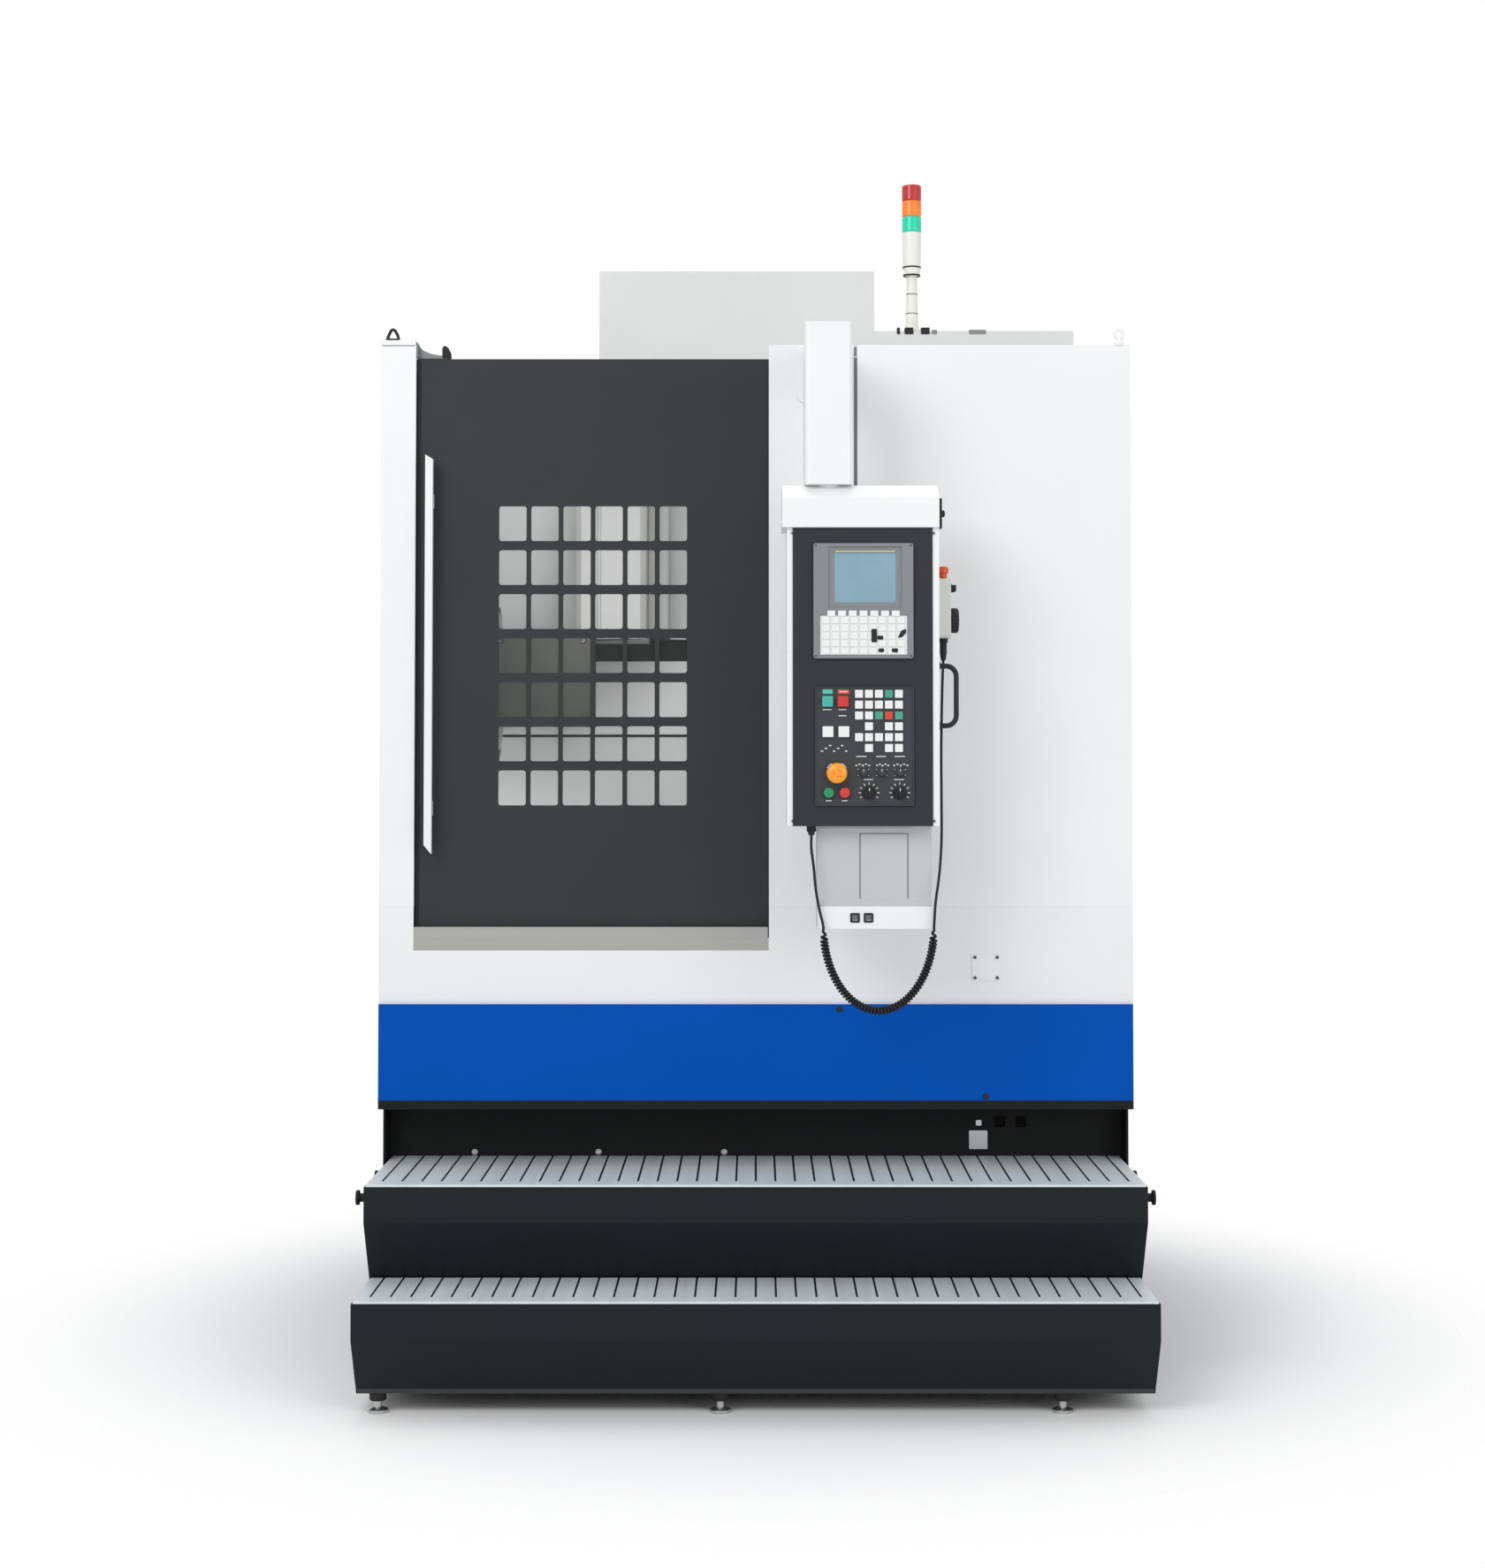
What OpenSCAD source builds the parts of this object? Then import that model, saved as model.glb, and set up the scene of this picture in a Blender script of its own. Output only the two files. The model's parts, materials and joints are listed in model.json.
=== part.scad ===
// Vertical CNC turning lathe with sliding door, swivel pendant and operator steps.
// Floor at z = 0, front towards -Y, width along X, origin under the middle of the footprint.

/* [Enclosure] */
// Width over the side panels
enclosure_w = 2000; // [1960:10:2200]
// Depth from the lower step nose to the rear face
overall_d = 2380; // [2340:10:2600]
// Height of the front panels above the floor
panel_top = 2730; // [2710:10:2860]
// Distance from the lower step nose back to the blue band
step_reach = 490; // [470:5:540]
// Thickness of the folded sheet panels
sheet_t = 3; // [2:0.5:4]
// Width of the folded panel edges
fold_w = 12; // [8:1:20]
// Height of the black kick plate
kick_top = 698; // [680:2:720]
// Thickness of the kick plate
kick_t = 6; // [4:0.5:8]
// Setback of the kick plate behind the blue band
kick_setback = 193; // [170:1:220]
// Height of the dark lip under the blue band
lip_h = 23; // [15:1:30]
// Height of the blue band
band_h = 253; // [230:1:270]
// How far the blue band stands in front of the white panels
band_proud = 12; // [6:1:20]
// Corner radius of the lip and the blue band
band_r = 12; // [6:1:20]
// Height of the white apron
apron_h = 258; // [240:1:290]
// Height of the apron below the door sill
sill_rise = 142; // [130:1:155]
// Height of the stainless door sill
sill_h = 62; // [50:1:75]
// Width of the left front pillar
pillar_w = 92; // [80:1:110]
// Width of the door opening
opening_w = 943; // [900:1:960]
// Drop of the roof sheet below the panel tops
roof_drop = 30; // [24:1:32]
// Width of the dark groove in the right front panel
groove_w = 9; // [5:1:14]

/* [Door] */
// Height of the door above the sill
door_h = 1517; // [1480:1:1530]
// Overlap of the door behind the pillar and the right panel
door_lap = 22; // [16:1:24]
// Depth of the door pan
door_d = 36; // [30:1:42]
// Gap between the panel folds and the door face
door_gap = 6; // [3:1:8]
// Number of window panes side by side
pane_cols = 6; // [4:1:6]
// Number of window panes one above another
pane_rows = 7; // [5:1:7]
// Width of one pane
pane_w = 73; // [60:1:80]
// Height of one pane
pane_h = 93; // [80:1:110]
// Bar between panes side by side
bar_x = 12.8; // [8:0.2:18]
// Bar between panes one above another
bar_z = 24.7; // [12:0.1:28]
// Corner radius of a pane
pane_r = 7; // [3:0.5:12]
// Distance from the opening's left edge to the first pane
window_left = 222; // [200:1:240]
// Distance from the sill up to the lowest pane
window_low = 322; // [300:1:345]
// Thickness of the window sheet
glass_t = 8; // [5:0.5:12]
// Length of the door handle
handle_h = 1060; // [900:5:1100]
// Width of the door handle bar
handle_w = 20; // [16:1:26]
// Finger room behind the handle bar
handle_gap = 34; // [28:1:40]

/* [Spindle and chuck] */
// Distance from the blue band back to the spindle axis
spindle_back = 640; // [630:1:660]
// Diameter of the spindle shaft
shaft_d = 180; // [150:1:200]
// Diameter of the spindle housing barrel
barrel_d = 440; // [420:1:460]
// Diameter of the chuck
chuck_d = 400; // [380:1:420]
// Thickness of the chuck body
chuck_h = 130; // [120:1:140]
// Diameter of the hole through the chuck
chuck_bore = 90; // [60:1:96]
// Width of a chuck jaw
jaw_w = 60; // [56:1:66]
// Height of a chuck jaw above the chuck face
jaw_h = 72; // [60:1:80]

/* [Column, saddle and turret] */
// Room between the column and the electrical cabinet
column_gap = 9.5; // [6:0.5:20]
// Share of the depth behind the ways that the column takes
column_share = 0.53; // [0.4:0.01:0.56]
// Room between the column top and the roof sheet
column_room = 137; // [100:1:160]
// Width of the ram
ram_w = 204; // [180:1:220]
// Depth of the ram
ram_d = 295; // [270:1:310]
// Height of the ram
ram_h = 625; // [600:1:640]
// Height of the turret axis above the floor
turret_z = 1853; // [1845:1:1870]
// Width of the turret housing
housing_w = 275; // [250:1:280]
// Height of the turret housing
housing_h = 264; // [250:1:280]
// Depth of the turret housing in front of its axis
housing_front = 140; // [125:1:145]
// Width across flats of the turret disc
disc_d = 400; // [360:2:410]
// Thickness of the turret disc
disc_t = 100; // [90:1:106]
// Number of tool stations
stations = 12; // [8:4:12]
// Reach of the longest tool beyond the disc
tool_reach = 68; // [55:1:70]

/* [Pendant] */
// Left side of the pendant box from the machine's centre plane
pendant_left = 78; // [70:1:90]
// Width of the pendant box
pendant_w = 384; // [380:1:400]
// Depth of the pendant box
pendant_d = 168; // [150:1:170]
// Height of the pendant box
pendant_h = 751; // [740:1:760]
// Height of the pendant's underside above the floor
pendant_low = 1453; // [1445:1:1460]
// Room between the white panels and the pendant's back
pendant_room = 207; // [200:1:220]
// Height of the pendant head
head_h = 112; // [100:1:130]
// Overhang of the pendant head to the left and to the front
head_lap = 12; // [8:1:24]
// Side of the square pendant post
post_w = 122; // [110:1:130]
// Diameter of the swivel spigot
spigot_d = 80; // [70:1:90]
// Height of the knee box under the pendant
knee_h = 259; // [240:1:265]

/* [Operator controls] */
// Thickness of the dark face plate
face_t = 3; // [2:0.5:4]
// Thickness of the operator plate
plate_t = 5; // [4:0.5:7]
// Thickness of the display unit
unit_t = 10; // [8:0.5:14]
// Pitch of the keys side by side
key_pitch_x = 25; // [23:0.5:26]
// Pitch of the key rows
key_pitch_z = 27.2; // [24:0.2:27.4]
// Side of a key cap
key_s = 20; // [16:0.5:21]
// Height of a key cap
key_h = 4; // [2:0.5:6]
// Travel of the push buttons
press = 3; // [2:0.5:4]
// Diameter of the emergency stop
stop_d = 52; // [40:1:54]
// Diameter of the round push buttons
button_d = 26; // [20:1:28]
// Side of the square push buttons
square_s = 27; // [22:1:30]
// Diameter of the large rotary knobs
knob_d = 34; // [28:1:38]
// Diameter of the small rotary knobs
small_knob_d = 22; // [16:1:26]

/* [Hand pulse unit] */
// Thickness of the pulse unit
pulse_t = 35; // [30:1:40]
// Width of the pulse unit
pulse_w = 70; // [66:1:80]
// Height of the pulse unit
pulse_h = 152; // [140:1:160]
// Diameter of the hand wheel
wheel_d = 64; // [54:1:66]
// Diameter of the plain cord
cord_d = 7; // [5:0.5:8]
// Outer diameter of the curly stretch
curl_d = 22; // [18:0.5:24]

/* [Steps] */
// Width of the steps
step_w = 1980; // [1900:10:1990]
// Height of the lower tread
tread_low = 296; // [280:1:310]
// Height of the upper tread
tread_high = 548; // [530:1:560]
// Setback of the upper nose behind the lower one
nose_setback = 196; // [180:1:220]
// Height of the upright fascia under each nose
fascia_h = 97; // [80:1:110]
// Setback of the sloping toe space
toe_setback = 96; // [70:1:120]
// Thickness of the step sheets
step_t = 5; // [4:0.5:6]
// Thickness of the tread plates
tread_t = 6; // [5:0.5:8]
// Pitch of the tread grooves
groove_pitch = 50; // [40:1:60]
// Ground clearance of the steps
step_clear = 50; // [40:1:60]

/* [Signal tower and rear] */
// Diameter of the signal lamps
lamp_d = 54; // [46:1:60]
// Height of one signal lamp
lamp_h = 44; // [36:1:50]
// Height of the cable duct on the roof
duct_h = 106; // [90:1:120]
// Height of the column hood above the roof
hood_h = 424; // [400:2:480]
// Width of the electrical cabinet
cabinet_w = 628; // [600:1:640]
// Share of the depth behind the ways that the electrical cabinet takes
cabinet_share = 0.59; // [0.5:0.01:0.6]

/* [Hidden] */
$fn = 64;
// Clearances: sliding faces, running shafts and keyed holes
slide_gap = 0.3;
run_gap = 0.05;
hole_gap = 0.4;

// Main planes of the enclosure
half_w = enclosure_w / 2;
side_in = half_w - sheet_t;
nose_y = -overall_d / 2;
back_y = overall_d / 2;
front_y = nose_y + step_reach;
skin_y = front_y + band_proud;
skin_in = skin_y + sheet_t;
kick_y = front_y + kick_setback;
kick_low = 20;
kick_wing = 110;
lip_in = 60;
band_low = kick_top + lip_h;
band_top = band_low + band_h;
band_shelf = band_proud + 8;
apron_top = band_top + apron_h;
sill_low = band_top + sill_rise;
sill_top = sill_low + sill_h;
open_x0 = -half_w + pillar_w;
open_x1 = open_x0 + opening_w;
roof_z = panel_top - roof_drop;
roof_low = roof_z - sheet_t;
groove_x = open_x1 + 227;

// Door planes
door_x0 = open_x0 - door_lap;
door_x1 = open_x1 + door_lap;
door_y0 = skin_y + fold_w + door_gap;
door_y1 = door_y0 + door_d;
door_z0 = sill_top - 18;
door_top = sill_top + door_h;
pane_step_x = pane_w + bar_x;
pane_step_z = pane_h + bar_z;
window_x0 = open_x0 + window_left;
window_x1 = window_x0 + pane_cols * pane_step_x - bar_x;
window_z0 = sill_top + window_low;
window_z1 = window_z0 + pane_rows * pane_step_z - bar_z;
glass_lap = 30;
handle_x = open_x0 + 30;
handle_z0 = sill_top + 194;
handle_t = 18;
handle_slant = 24;
handle_post_z = 120;
tongue_t = 8;
rail_z1 = door_z0 - 10;
rail_z0 = sill_low - 26;
groove_z = rail_z1 - 22;
rail_y1 = door_y1 + 9;
hanger_z = door_top - 59;
hanger_t = 20;
hanger_w = 100;
hang_y0 = door_y1 + 6;
hang_y1 = hang_y0 + 16;
hang_h = 76;

// Work chamber, base and column planes
deck_z = 960;
base_side = 100;
base_low = 60;
base_y0 = kick_y + kick_t;
base_y1 = back_y - 190;
spindle_x = (open_x0 + open_x1) / 2;
spindle_y = front_y + spindle_back;
liner_x0 = door_x0;
liner_x1 = open_x1 + 85;
liner_y0 = door_y1 + 30;
rear_y = spindle_y + 300;
liner_y1 = rear_y + 6;
tray_z = deck_z + sheet_t;
chute_low = 1702;
chute_lip = 22;
chute_top = 1924;
wiper_h = 62;
cover_z0 = chute_top + wiper_h + 4;
cover_y = rear_y + 10;
column_y0 = rear_y + 160;
rear_room = back_y - column_y0;
column_y1 = round(column_y0 + column_share * rear_room);
column_x0 = spindle_x - 343;
column_top = roof_low - column_room;
way_d = 48;
way_h = 60;
way_z = [column_top - 510, column_top - 80];

// Electrical cabinet, and the column's end beside it
cabinet_x1 = half_w - band_shelf - 2;
cabinet_x0 = cabinet_x1 - cabinet_w;
cabinet_y1 = back_y - 60;
cabinet_y0 = cabinet_y1 - cabinet_share * rear_room;
column_x1 = cabinet_x0 - column_gap;

// Spindle levels
flange_h = 32;
neck_h = 90;
flange_d = barrel_d + 120;
neck_d = barrel_d - 10;
barrel_low = deck_z - 480;
shaft_low = barrel_low - 10;
bore_low = barrel_low - 40;
neck_top = tray_z + flange_h + neck_h;
flange_low = neck_top + 5;
nose_d = shaft_d + 120;
chuck_z0 = flange_low + 30;
chuck_z1 = chuck_z0 + chuck_h;
slot_w = jaw_w - 14;
slot_d = 34;
tee_w = jaw_w + 4;
tee_h = 14;
jaw_r0 = chuck_bore / 2 + 17;
jaw_r1 = chuck_d / 2 - 12;
slot_r0 = jaw_r0 - 12;

// Ram, saddle and turret
ram_x = spindle_x + 15;
ram_y1 = rear_y - 25;
ram_y0 = ram_y1 - ram_d;
ram_z0 = turret_z + housing_h / 2 - 10;
cheek_w = 60;
saddle_w = ram_w + 2 * (slide_gap + cheek_w);
saddle_z0 = cover_z0 + 10;
saddle_z1 = column_top + 40;
saddle_y1 = column_y0 - 20;
cheek_y = ram_y1 - 155;
cover_z1 = saddle_z1 + 50;
cover_left = 345;
cover_right = 440;
housing_x1 = ram_x - ram_w / 2 + 51;
housing_x0 = housing_x1 - housing_w;
housing_y0 = spindle_y - housing_front;
housing_y1 = cheek_y - 2;
hub_d = 120;
hub_l = 70;
disc_x1 = housing_x0 - slide_gap;
disc_x0 = disc_x1 - disc_t;
flat_r = disc_d / 2;
station_step = 360 / stations;

// Hood, duct and tower
hood_x0 = spindle_x - 43;
hood_x1 = column_x1 + 23;
hood_y0 = rear_y + 60;
hood_top = roof_z + hood_h;
duct_y0 = front_y + 230;
duct_d = 100;
duct_x0 = groove_x + 4;
duct_x1 = half_w - 123;
tower_x = groove_x + 172;
tower_y = duct_y0 + duct_d / 2;
tower_z = roof_z + duct_h;
pole_h = 163;
collar_h = 22;
module_h = 97;
lamps_z = tower_z + pole_h + collar_h + module_h;

// Electrical cabinet door
hinge_x = cabinet_x1 - 7;
hinge_y = cabinet_y1 + 16;
hinge_r = 7;
hinge_pin_r = 4;
hinge_h = 40;
hinge_z = [deck_z + 250, roof_low - 300];
door_leaf_x0 = cabinet_x0 + 6;
door_leaf_x1 = hinge_x - 9;
door_leaf_y0 = cabinet_y1 + 1;
door_leaf_t = 22;
door_leaf_z0 = deck_z + 20;
door_leaf_z1 = roof_low - 20;
switch_x = (door_leaf_x0 + door_leaf_x1) / 2;
switch_z = deck_z + 1100;
switch_d = 60;
switch_pin_d = 14;

// Pendant planes
pendant_x1 = pendant_left + pendant_w;
pendant_y1 = skin_y - pendant_room;
pendant_y0 = pendant_y1 - pendant_d;
pendant_top = pendant_low + pendant_h;
head_top = pendant_top + head_h;
head_bevel = 36;
post_x = pendant_left + 106;
post_y = pendant_y0 + 78;
post_low = head_top + slide_gap;
spigot_h = 50;
arm_h = 120;
arm_w = 100;
knee_x0 = pendant_left + 77;
knee_x1 = pendant_x1 - 17;
knee_y0 = pendant_y0 + 53;
knee_low = pendant_low - knee_h;
knee_lip = 56;
face_x0 = pendant_left + 15;
face_x1 = pendant_x1 - 17;
face_y = pendant_y0 - face_t;
unit_x0 = face_x0 + 52;
unit_w = 251;
unit_z0 = pendant_low + 421;
unit_h = 290;
unit_y = face_y - unit_t;
screen_x0 = unit_x0 + 53;
screen_w = 154;
screen_z0 = unit_z0 + 141;
screen_h = 125;
screen_t = 4;
screen_drop = 4;
bezel = 15;
plate_x0 = face_x0 + 56;
plate_w = 248;
plate_z0 = pendant_low + 51;
plate_h = 297;
plate_y = face_y - plate_t;
rim_w = 3;
rim_h = 2;

// Places on the operator plate
stop_at = [plate_x0 + 54, plate_z0 + 82];
start_at = [plate_x0 + 34, plate_z0 + 33];
hold_at = [plate_x0 + 74, plate_z0 + 33];
power_on_at = [plate_x0 + 31, plate_z0 + 262];
power_off_at = [plate_x0 + 70, plate_z0 + 262];
stem_places = [start_at, hold_at, power_on_at, power_off_at, stop_at];
white_at = [[plate_x0 + 32, plate_z0 + 186], [plate_x0 + 72, plate_z0 + 186]];
feed_at = [plate_x0 + 135, plate_z0 + 33];
speed_at = [plate_x0 + 212, plate_z0 + 33];
small_at = [for (x = [121, 167, 213]) [plate_x0 + x, plate_z0 + 84]];
keys_x0 = plate_x0 + 110;
keys_z1 = plate_z0 + 281;
// Columns that hold a key in each row, from the top row down
key_rows = [[0, 1, 2, 3, 4], [0, 1, 2, 3, 4], [0, 1, 2, 3, 4], [1, 3, 4], [0, 1, 2, 3, 4], [1, 3, 4]];
stem_d = 10;
stem_l = 16;
cap_h = 9;
stop_collar = 4;
knob_h = 20;
knob_pin_d = 8;
soft_keys = 7;
soft_pitch = 27;
soft_w = 20;
soft_h = 14;
mdi_cols = 9;
mdi_rows = 5;
mdi_s = 18;
mdi_pitch_x = 23.6;
mdi_pitch_z = 19.4;
mdi_h = 16;

// Hand pulse unit
pulse_x0 = pendant_x1;
pulse_x1 = pulse_x0 + pulse_t;
pulse_y = pendant_y0 + 108;
pulse_z0 = pendant_low + 477;
pulse_z1 = pulse_z0 + pulse_h;
wheel_z = pulse_z0 + 46;
wheel_t = 21;
pulse_pin_d = 10;
grip_y = pendant_y0 + 33;
grip_z0 = pendant_low + 246;
grip_h = 164;
grip_out = 51;
grip_d = 13;

// Route of the pulse unit's cord: lead from the unit, curly stretch under the knee, tail to the box
lead_from = [pulse_x0 + pulse_t / 2, pulse_y, pulse_z0 - 56];
curl_y = pendant_y0 + 18;
curl_x = [knee_x1 + 3, knee_x0 + 14.5];
curl_mid = (curl_x[0] + curl_x[1]) / 2;
curl_half = (curl_x[0] - curl_x[1]) / 2;
curl_drop = 212;
tail_x = knee_x0 - 15;
cord_lead = [lead_from, lead_from + [-3, 0, -74], lead_from + [-6, -3, -224],
    [pulse_x0 + 11, pendant_y0 + 95, pendant_low + 67], [pulse_x0 + 9, pendant_y0 + 68, pendant_low - 33],
    [pulse_x0 + 1, pendant_y0 + 33, pendant_low - 118], [knee_x1 + 7, curl_y, knee_low + 68]];
// Half oval that hangs under the knee
cord_curl = [for (t = [0 : 15 : 180])
    [curl_mid + curl_half * cos(t), curl_y, knee_low + 8 - curl_drop * sin(t)]];
cord_tail = [[tail_x + 21, curl_y, pendant_low - 215], [tail_x + 11, curl_y, pendant_low - 160],
    [tail_x + 6, curl_y + 1, pendant_low - 105], [tail_x, curl_y + 5, pendant_low - 58],
    [tail_x, curl_y + 5, pendant_low - 23]];
cord_route = concat(cord_lead, cord_curl, cord_tail);
curl_from = len(cord_lead);
curl_to = curl_from + len(cord_curl) - 1;
route_end = len(cord_route) - 1;

// Steps
nose2_y = nose_y + nose_setback;
riser_y = nose2_y + toe_setback + 9;
step_back_y = kick_y;
tread_edge = 5;
tread_back = 8;
nosing = 55;
groove_wide = 5;
groove_deep = 3;
step_half = step_w / 2;
step_flange = 60;
step_feet_x = [-step_half + 51, -88, step_half - 227];
step_feet_y = [nose_y + 117, step_back_y - 40];
machine_feet_x = [-half_w + 220, 0, half_w - 220];
machine_feet_y = [base_y0 + 150, base_y1 - 120];

// Shared outlines and placements

// Rectangle outline between two corners
module rect(a, b) {
    translate(a) square(b - a);
}

// Rectangle outline with round corners between two corners
module round_rect(a, b, r) {
    rect([a[0] + r, a[1]], [b[0] - r, b[1]]);
    rect([a[0], a[1] + r], [b[0], b[1] - r]);
    for (x = [a[0] + r, b[0] - r], y = [a[1] + r, b[1] - r]) translate([x, y]) circle(r);
}

// Outline drawn in x and z, as a plate from y0 to y1
module upright(y0, y1) {
    translate([0, y1, 0]) rotate([90, 0, 0]) linear_extrude(y1 - y0) children();
}

// Outline drawn in y and z, extruded from x0 to x1
module along_x(x0, x1) {
    translate([x0, 0, 0]) rotate([90, 0, 90]) linear_extrude(x1 - x0) children();
}

// Plan outline raised from z0 to z1
module along_z(z0, z1) {
    translate([0, 0, z0]) linear_extrude(z1 - z0) children();
}

// Half section in radius and height, turned about an axis towards the front at x and z
module turned_front(x, y, z) {
    translate([x, y, z]) rotate([90, 0, 0]) rotate_extrude() children();
}

// Hole towards the back through the face and operator plates
module stem_hole(at, d) {
    translate([at[0], plate_y - 20, at[1]]) rotate([-90, 0, 0]) cylinder(d = d, h = 40);
}

// Points of a closed outline moved inwards by t, for points listed clockwise
function heading(a, b) = (b - a) / norm(b - a);
function right_of(d) = [d[1], -d[0]];
function inset_point(p, i, t) = let (n = len(p), b = p[i],
    n1 = right_of(heading(p[(i + n - 1) % n], b)), n2 = right_of(heading(b, p[(i + 1) % n])))
    b + (n1 + n2) * t / (1 + n1 * n2);
function inset(p, t) = [for (i = [0 : len(p) - 1]) inset_point(p, i, t)];

// Smooth cord route through its points, and its direction, at a running place u
function route_at(k) = cord_route[max(0, min(route_end, k))];
function cord_at(u) = let (i = min(route_end - 1, floor(u)), f = u - i, a = route_at(i - 1),
    b = route_at(i), c = route_at(i + 1), d = route_at(i + 2))
    b + f * ((c - a) / 2 + f * ((2 * a - 5 * b + 4 * c - d) / 2 + f * (3 * (b - c) + d - a) / 2));
function cord_heading(u) = u < 0.01 || u > route_end - 0.01 ? [0, 0, u < 0.01 ? -1 : 1] :
    let (d = cord_at(u + 0.005) - cord_at(u - 0.005)) d / norm(d);
function cord_ring(u, r, sides) = let (t = cord_heading(u), n = cross([0, 1, 0], t), a = n / norm(n),
    b = cross(t, a), turn = 360 / sides)
    [for (k = [0 : sides - 1]) cord_at(u) + r * (a * cos(k * turn) + b * sin(k * turn))];

// Tube of diameter d along the cord route between two running places
module cord_tube(u0, u1, d, rings, sides) {
    points = [for (i = [0 : rings]) each cord_ring(u0 + (u1 - u0) * i / rings, d / 2, sides)];
    walls = [for (i = [0 : rings - 1], k = [0 : sides - 1]) let (m = (k + 1) % sides)
        [i * sides + k, i * sides + m, (i + 1) * sides + m, (i + 1) * sides + k]];
    ends = [[for (k = [sides - 1 : -1 : 0]) k], [for (k = [0 : sides - 1]) rings * sides + k]];
    polyhedron(points, [for (f = concat(walls, ends)) [for (k = [len(f) - 1 : -1 : 0]) f[k]]], 4);
}

// Base, feet and drive

module base_casting() {
    pocket = 40;
    color("#6F7478") difference() {
        along_x(-half_w + base_side, half_w - base_side) polygon([[base_y0, base_low], [base_y1, base_low],
            [base_y1, deck_z], [base_y0 + 70, deck_z], [base_y0, deck_z - 120]]);
        translate([spindle_x, spindle_y, bore_low]) cylinder(d = barrel_d + 2 * slide_gap, h = deck_z);
        // Core windows in both flanks of the casting
        for (side = [-1, 1], i = [0 : 2]) mirror([side > 0 ? 0 : 1, 0, 0])
            along_x(half_w - base_side - pocket, half_w) let (y0 = base_y0 + 120 + i * 430)
                round_rect([y0, base_low + 120], [y0 + 330, deck_z - 200], 60);
    }
}

module machine_foot(x, y) {
    translate([x, y, 0]) rotate_extrude()
        polygon([[0, 0], [70, 0], [70, 12], [52, 24], [24, 28], [24, base_low], [0, base_low]]);
}

module step_foot(x, y) {
    translate([x, y, 0]) rotate_extrude()
        polygon([[0, 0], [26, 0], [26, 8], [10, 14], [10, step_clear], [0, step_clear]]);
}

module levelling_feet() {
    color("#B9BCBC") {
        for (x = machine_feet_x, y = machine_feet_y) machine_foot(x, y);
        for (x = step_feet_x, y = step_feet_y) step_foot(x, y);
    }
}

module spindle_housing() {
    r0 = shaft_d / 2 + run_gap;
    color("#8C9194") translate([spindle_x, spindle_y, 0]) rotate_extrude()
        polygon([[r0, barrel_low], [barrel_d / 2, barrel_low], [barrel_d / 2, tray_z], [flange_d / 2, tray_z],
            [flange_d / 2, tray_z + flange_h], [neck_d / 2, tray_z + flange_h], [neck_d / 2, neck_top - 20],
            [neck_d / 2 - 20, neck_top], [r0, neck_top]]);
}

module spindle() {
    color("#C4C7C8") translate([spindle_x, spindle_y, 0]) rotate_extrude()
        polygon([[chuck_bore / 3, shaft_low], [shaft_d / 2 - 8, shaft_low], [shaft_d / 2, shaft_low + 8],
            [shaft_d / 2, flange_low], [nose_d / 2, flange_low], [nose_d / 2, chuck_z0],
            [chuck_bore / 3, chuck_z0]]);
}

module jaw_slot(w, z0, z1, r0) {
    translate([r0, -w / 2, z0]) cube([chuck_d / 2, w, z1 - z0]);
}

module chuck() {
    edge = 8;
    color("#A9ADAF") translate([spindle_x, spindle_y, 0]) difference() {
        rotate_extrude() polygon([[chuck_bore / 2, chuck_z0], [chuck_d / 2 - 30, chuck_z0],
            [chuck_d / 2, chuck_z0 + 20], [chuck_d / 2, chuck_z1 - edge], [chuck_d / 2 - edge, chuck_z1],
            [chuck_bore / 2 + edge, chuck_z1], [chuck_bore / 2, chuck_z1 - edge]]);
        for (i = [0 : 2]) rotate(90 + 120 * i) {
            jaw_slot(slot_w, chuck_z1 - slot_d, chuck_z1 + 1, slot_r0);
            jaw_slot(tee_w, chuck_z1 - slot_d, chuck_z1 - slot_d + tee_h, slot_r0);
        }
    }
}

// Stepped jaw with a tee foot, seated in slot i
module jaw(i) {
    low = chuck_z1 - slot_d + slide_gap;
    run = jaw_r1 - jaw_r0;
    color("#7D8285") translate([spindle_x, spindle_y, 0]) rotate(90 + 120 * i) {
        translate([jaw_r0, -tee_w / 2 + slide_gap, low])
            cube([run, tee_w - 2 * slide_gap, tee_h - 2 * slide_gap]);
        translate([jaw_r0, -slot_w / 2 + slide_gap, low]) cube([run, slot_w - 2 * slide_gap, slot_d]);
        translate([0, jaw_w / 2, chuck_z1 + slide_gap]) rotate([90, 0, 0]) linear_extrude(jaw_w)
            polygon([[jaw_r0, 0], [jaw_r1, 0], [jaw_r1, jaw_h / 3], [jaw_r0 + run * 0.7, jaw_h / 3],
                [jaw_r0 + run * 0.7, jaw_h * 2 / 3], [jaw_r0 + run * 0.36, jaw_h * 2 / 3],
                [jaw_r0 + run * 0.36, jaw_h], [jaw_r0, jaw_h]]);
    }
}

module jaw_1() { jaw(0); }
module jaw_2() { jaw(1); }
module jaw_3() { jaw(2); }

// Column, saddle, ram and turret

module column() {
    pocket = 80;
    pockets = 3;
    rim = 90;
    step = floor((column_top - deck_z - rim) / pockets);
    x1 = column_x1;
    color("#D9DBDB") difference() {
        along_x(column_x0, x1) {
            rect([column_y0, deck_z], [column_y1, column_top]);
            // Box ways that carry the saddle
            for (z = way_z) rect([column_y0 - way_d, z], [column_y0 + 1, z + way_h]);
        }
        // Core pockets in both flanks
        for (i = [0 : pockets - 1], x = [[column_x0 - 1, column_x0 + pocket], [x1 - pocket, x1 + 1]])
            let (z = deck_z + rim + i * step) along_x(x[0], x[1])
                round_rect([column_y0 + rim, z], [column_y1 - rim, z + step - rim], rim / 2);
    }
}

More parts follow.
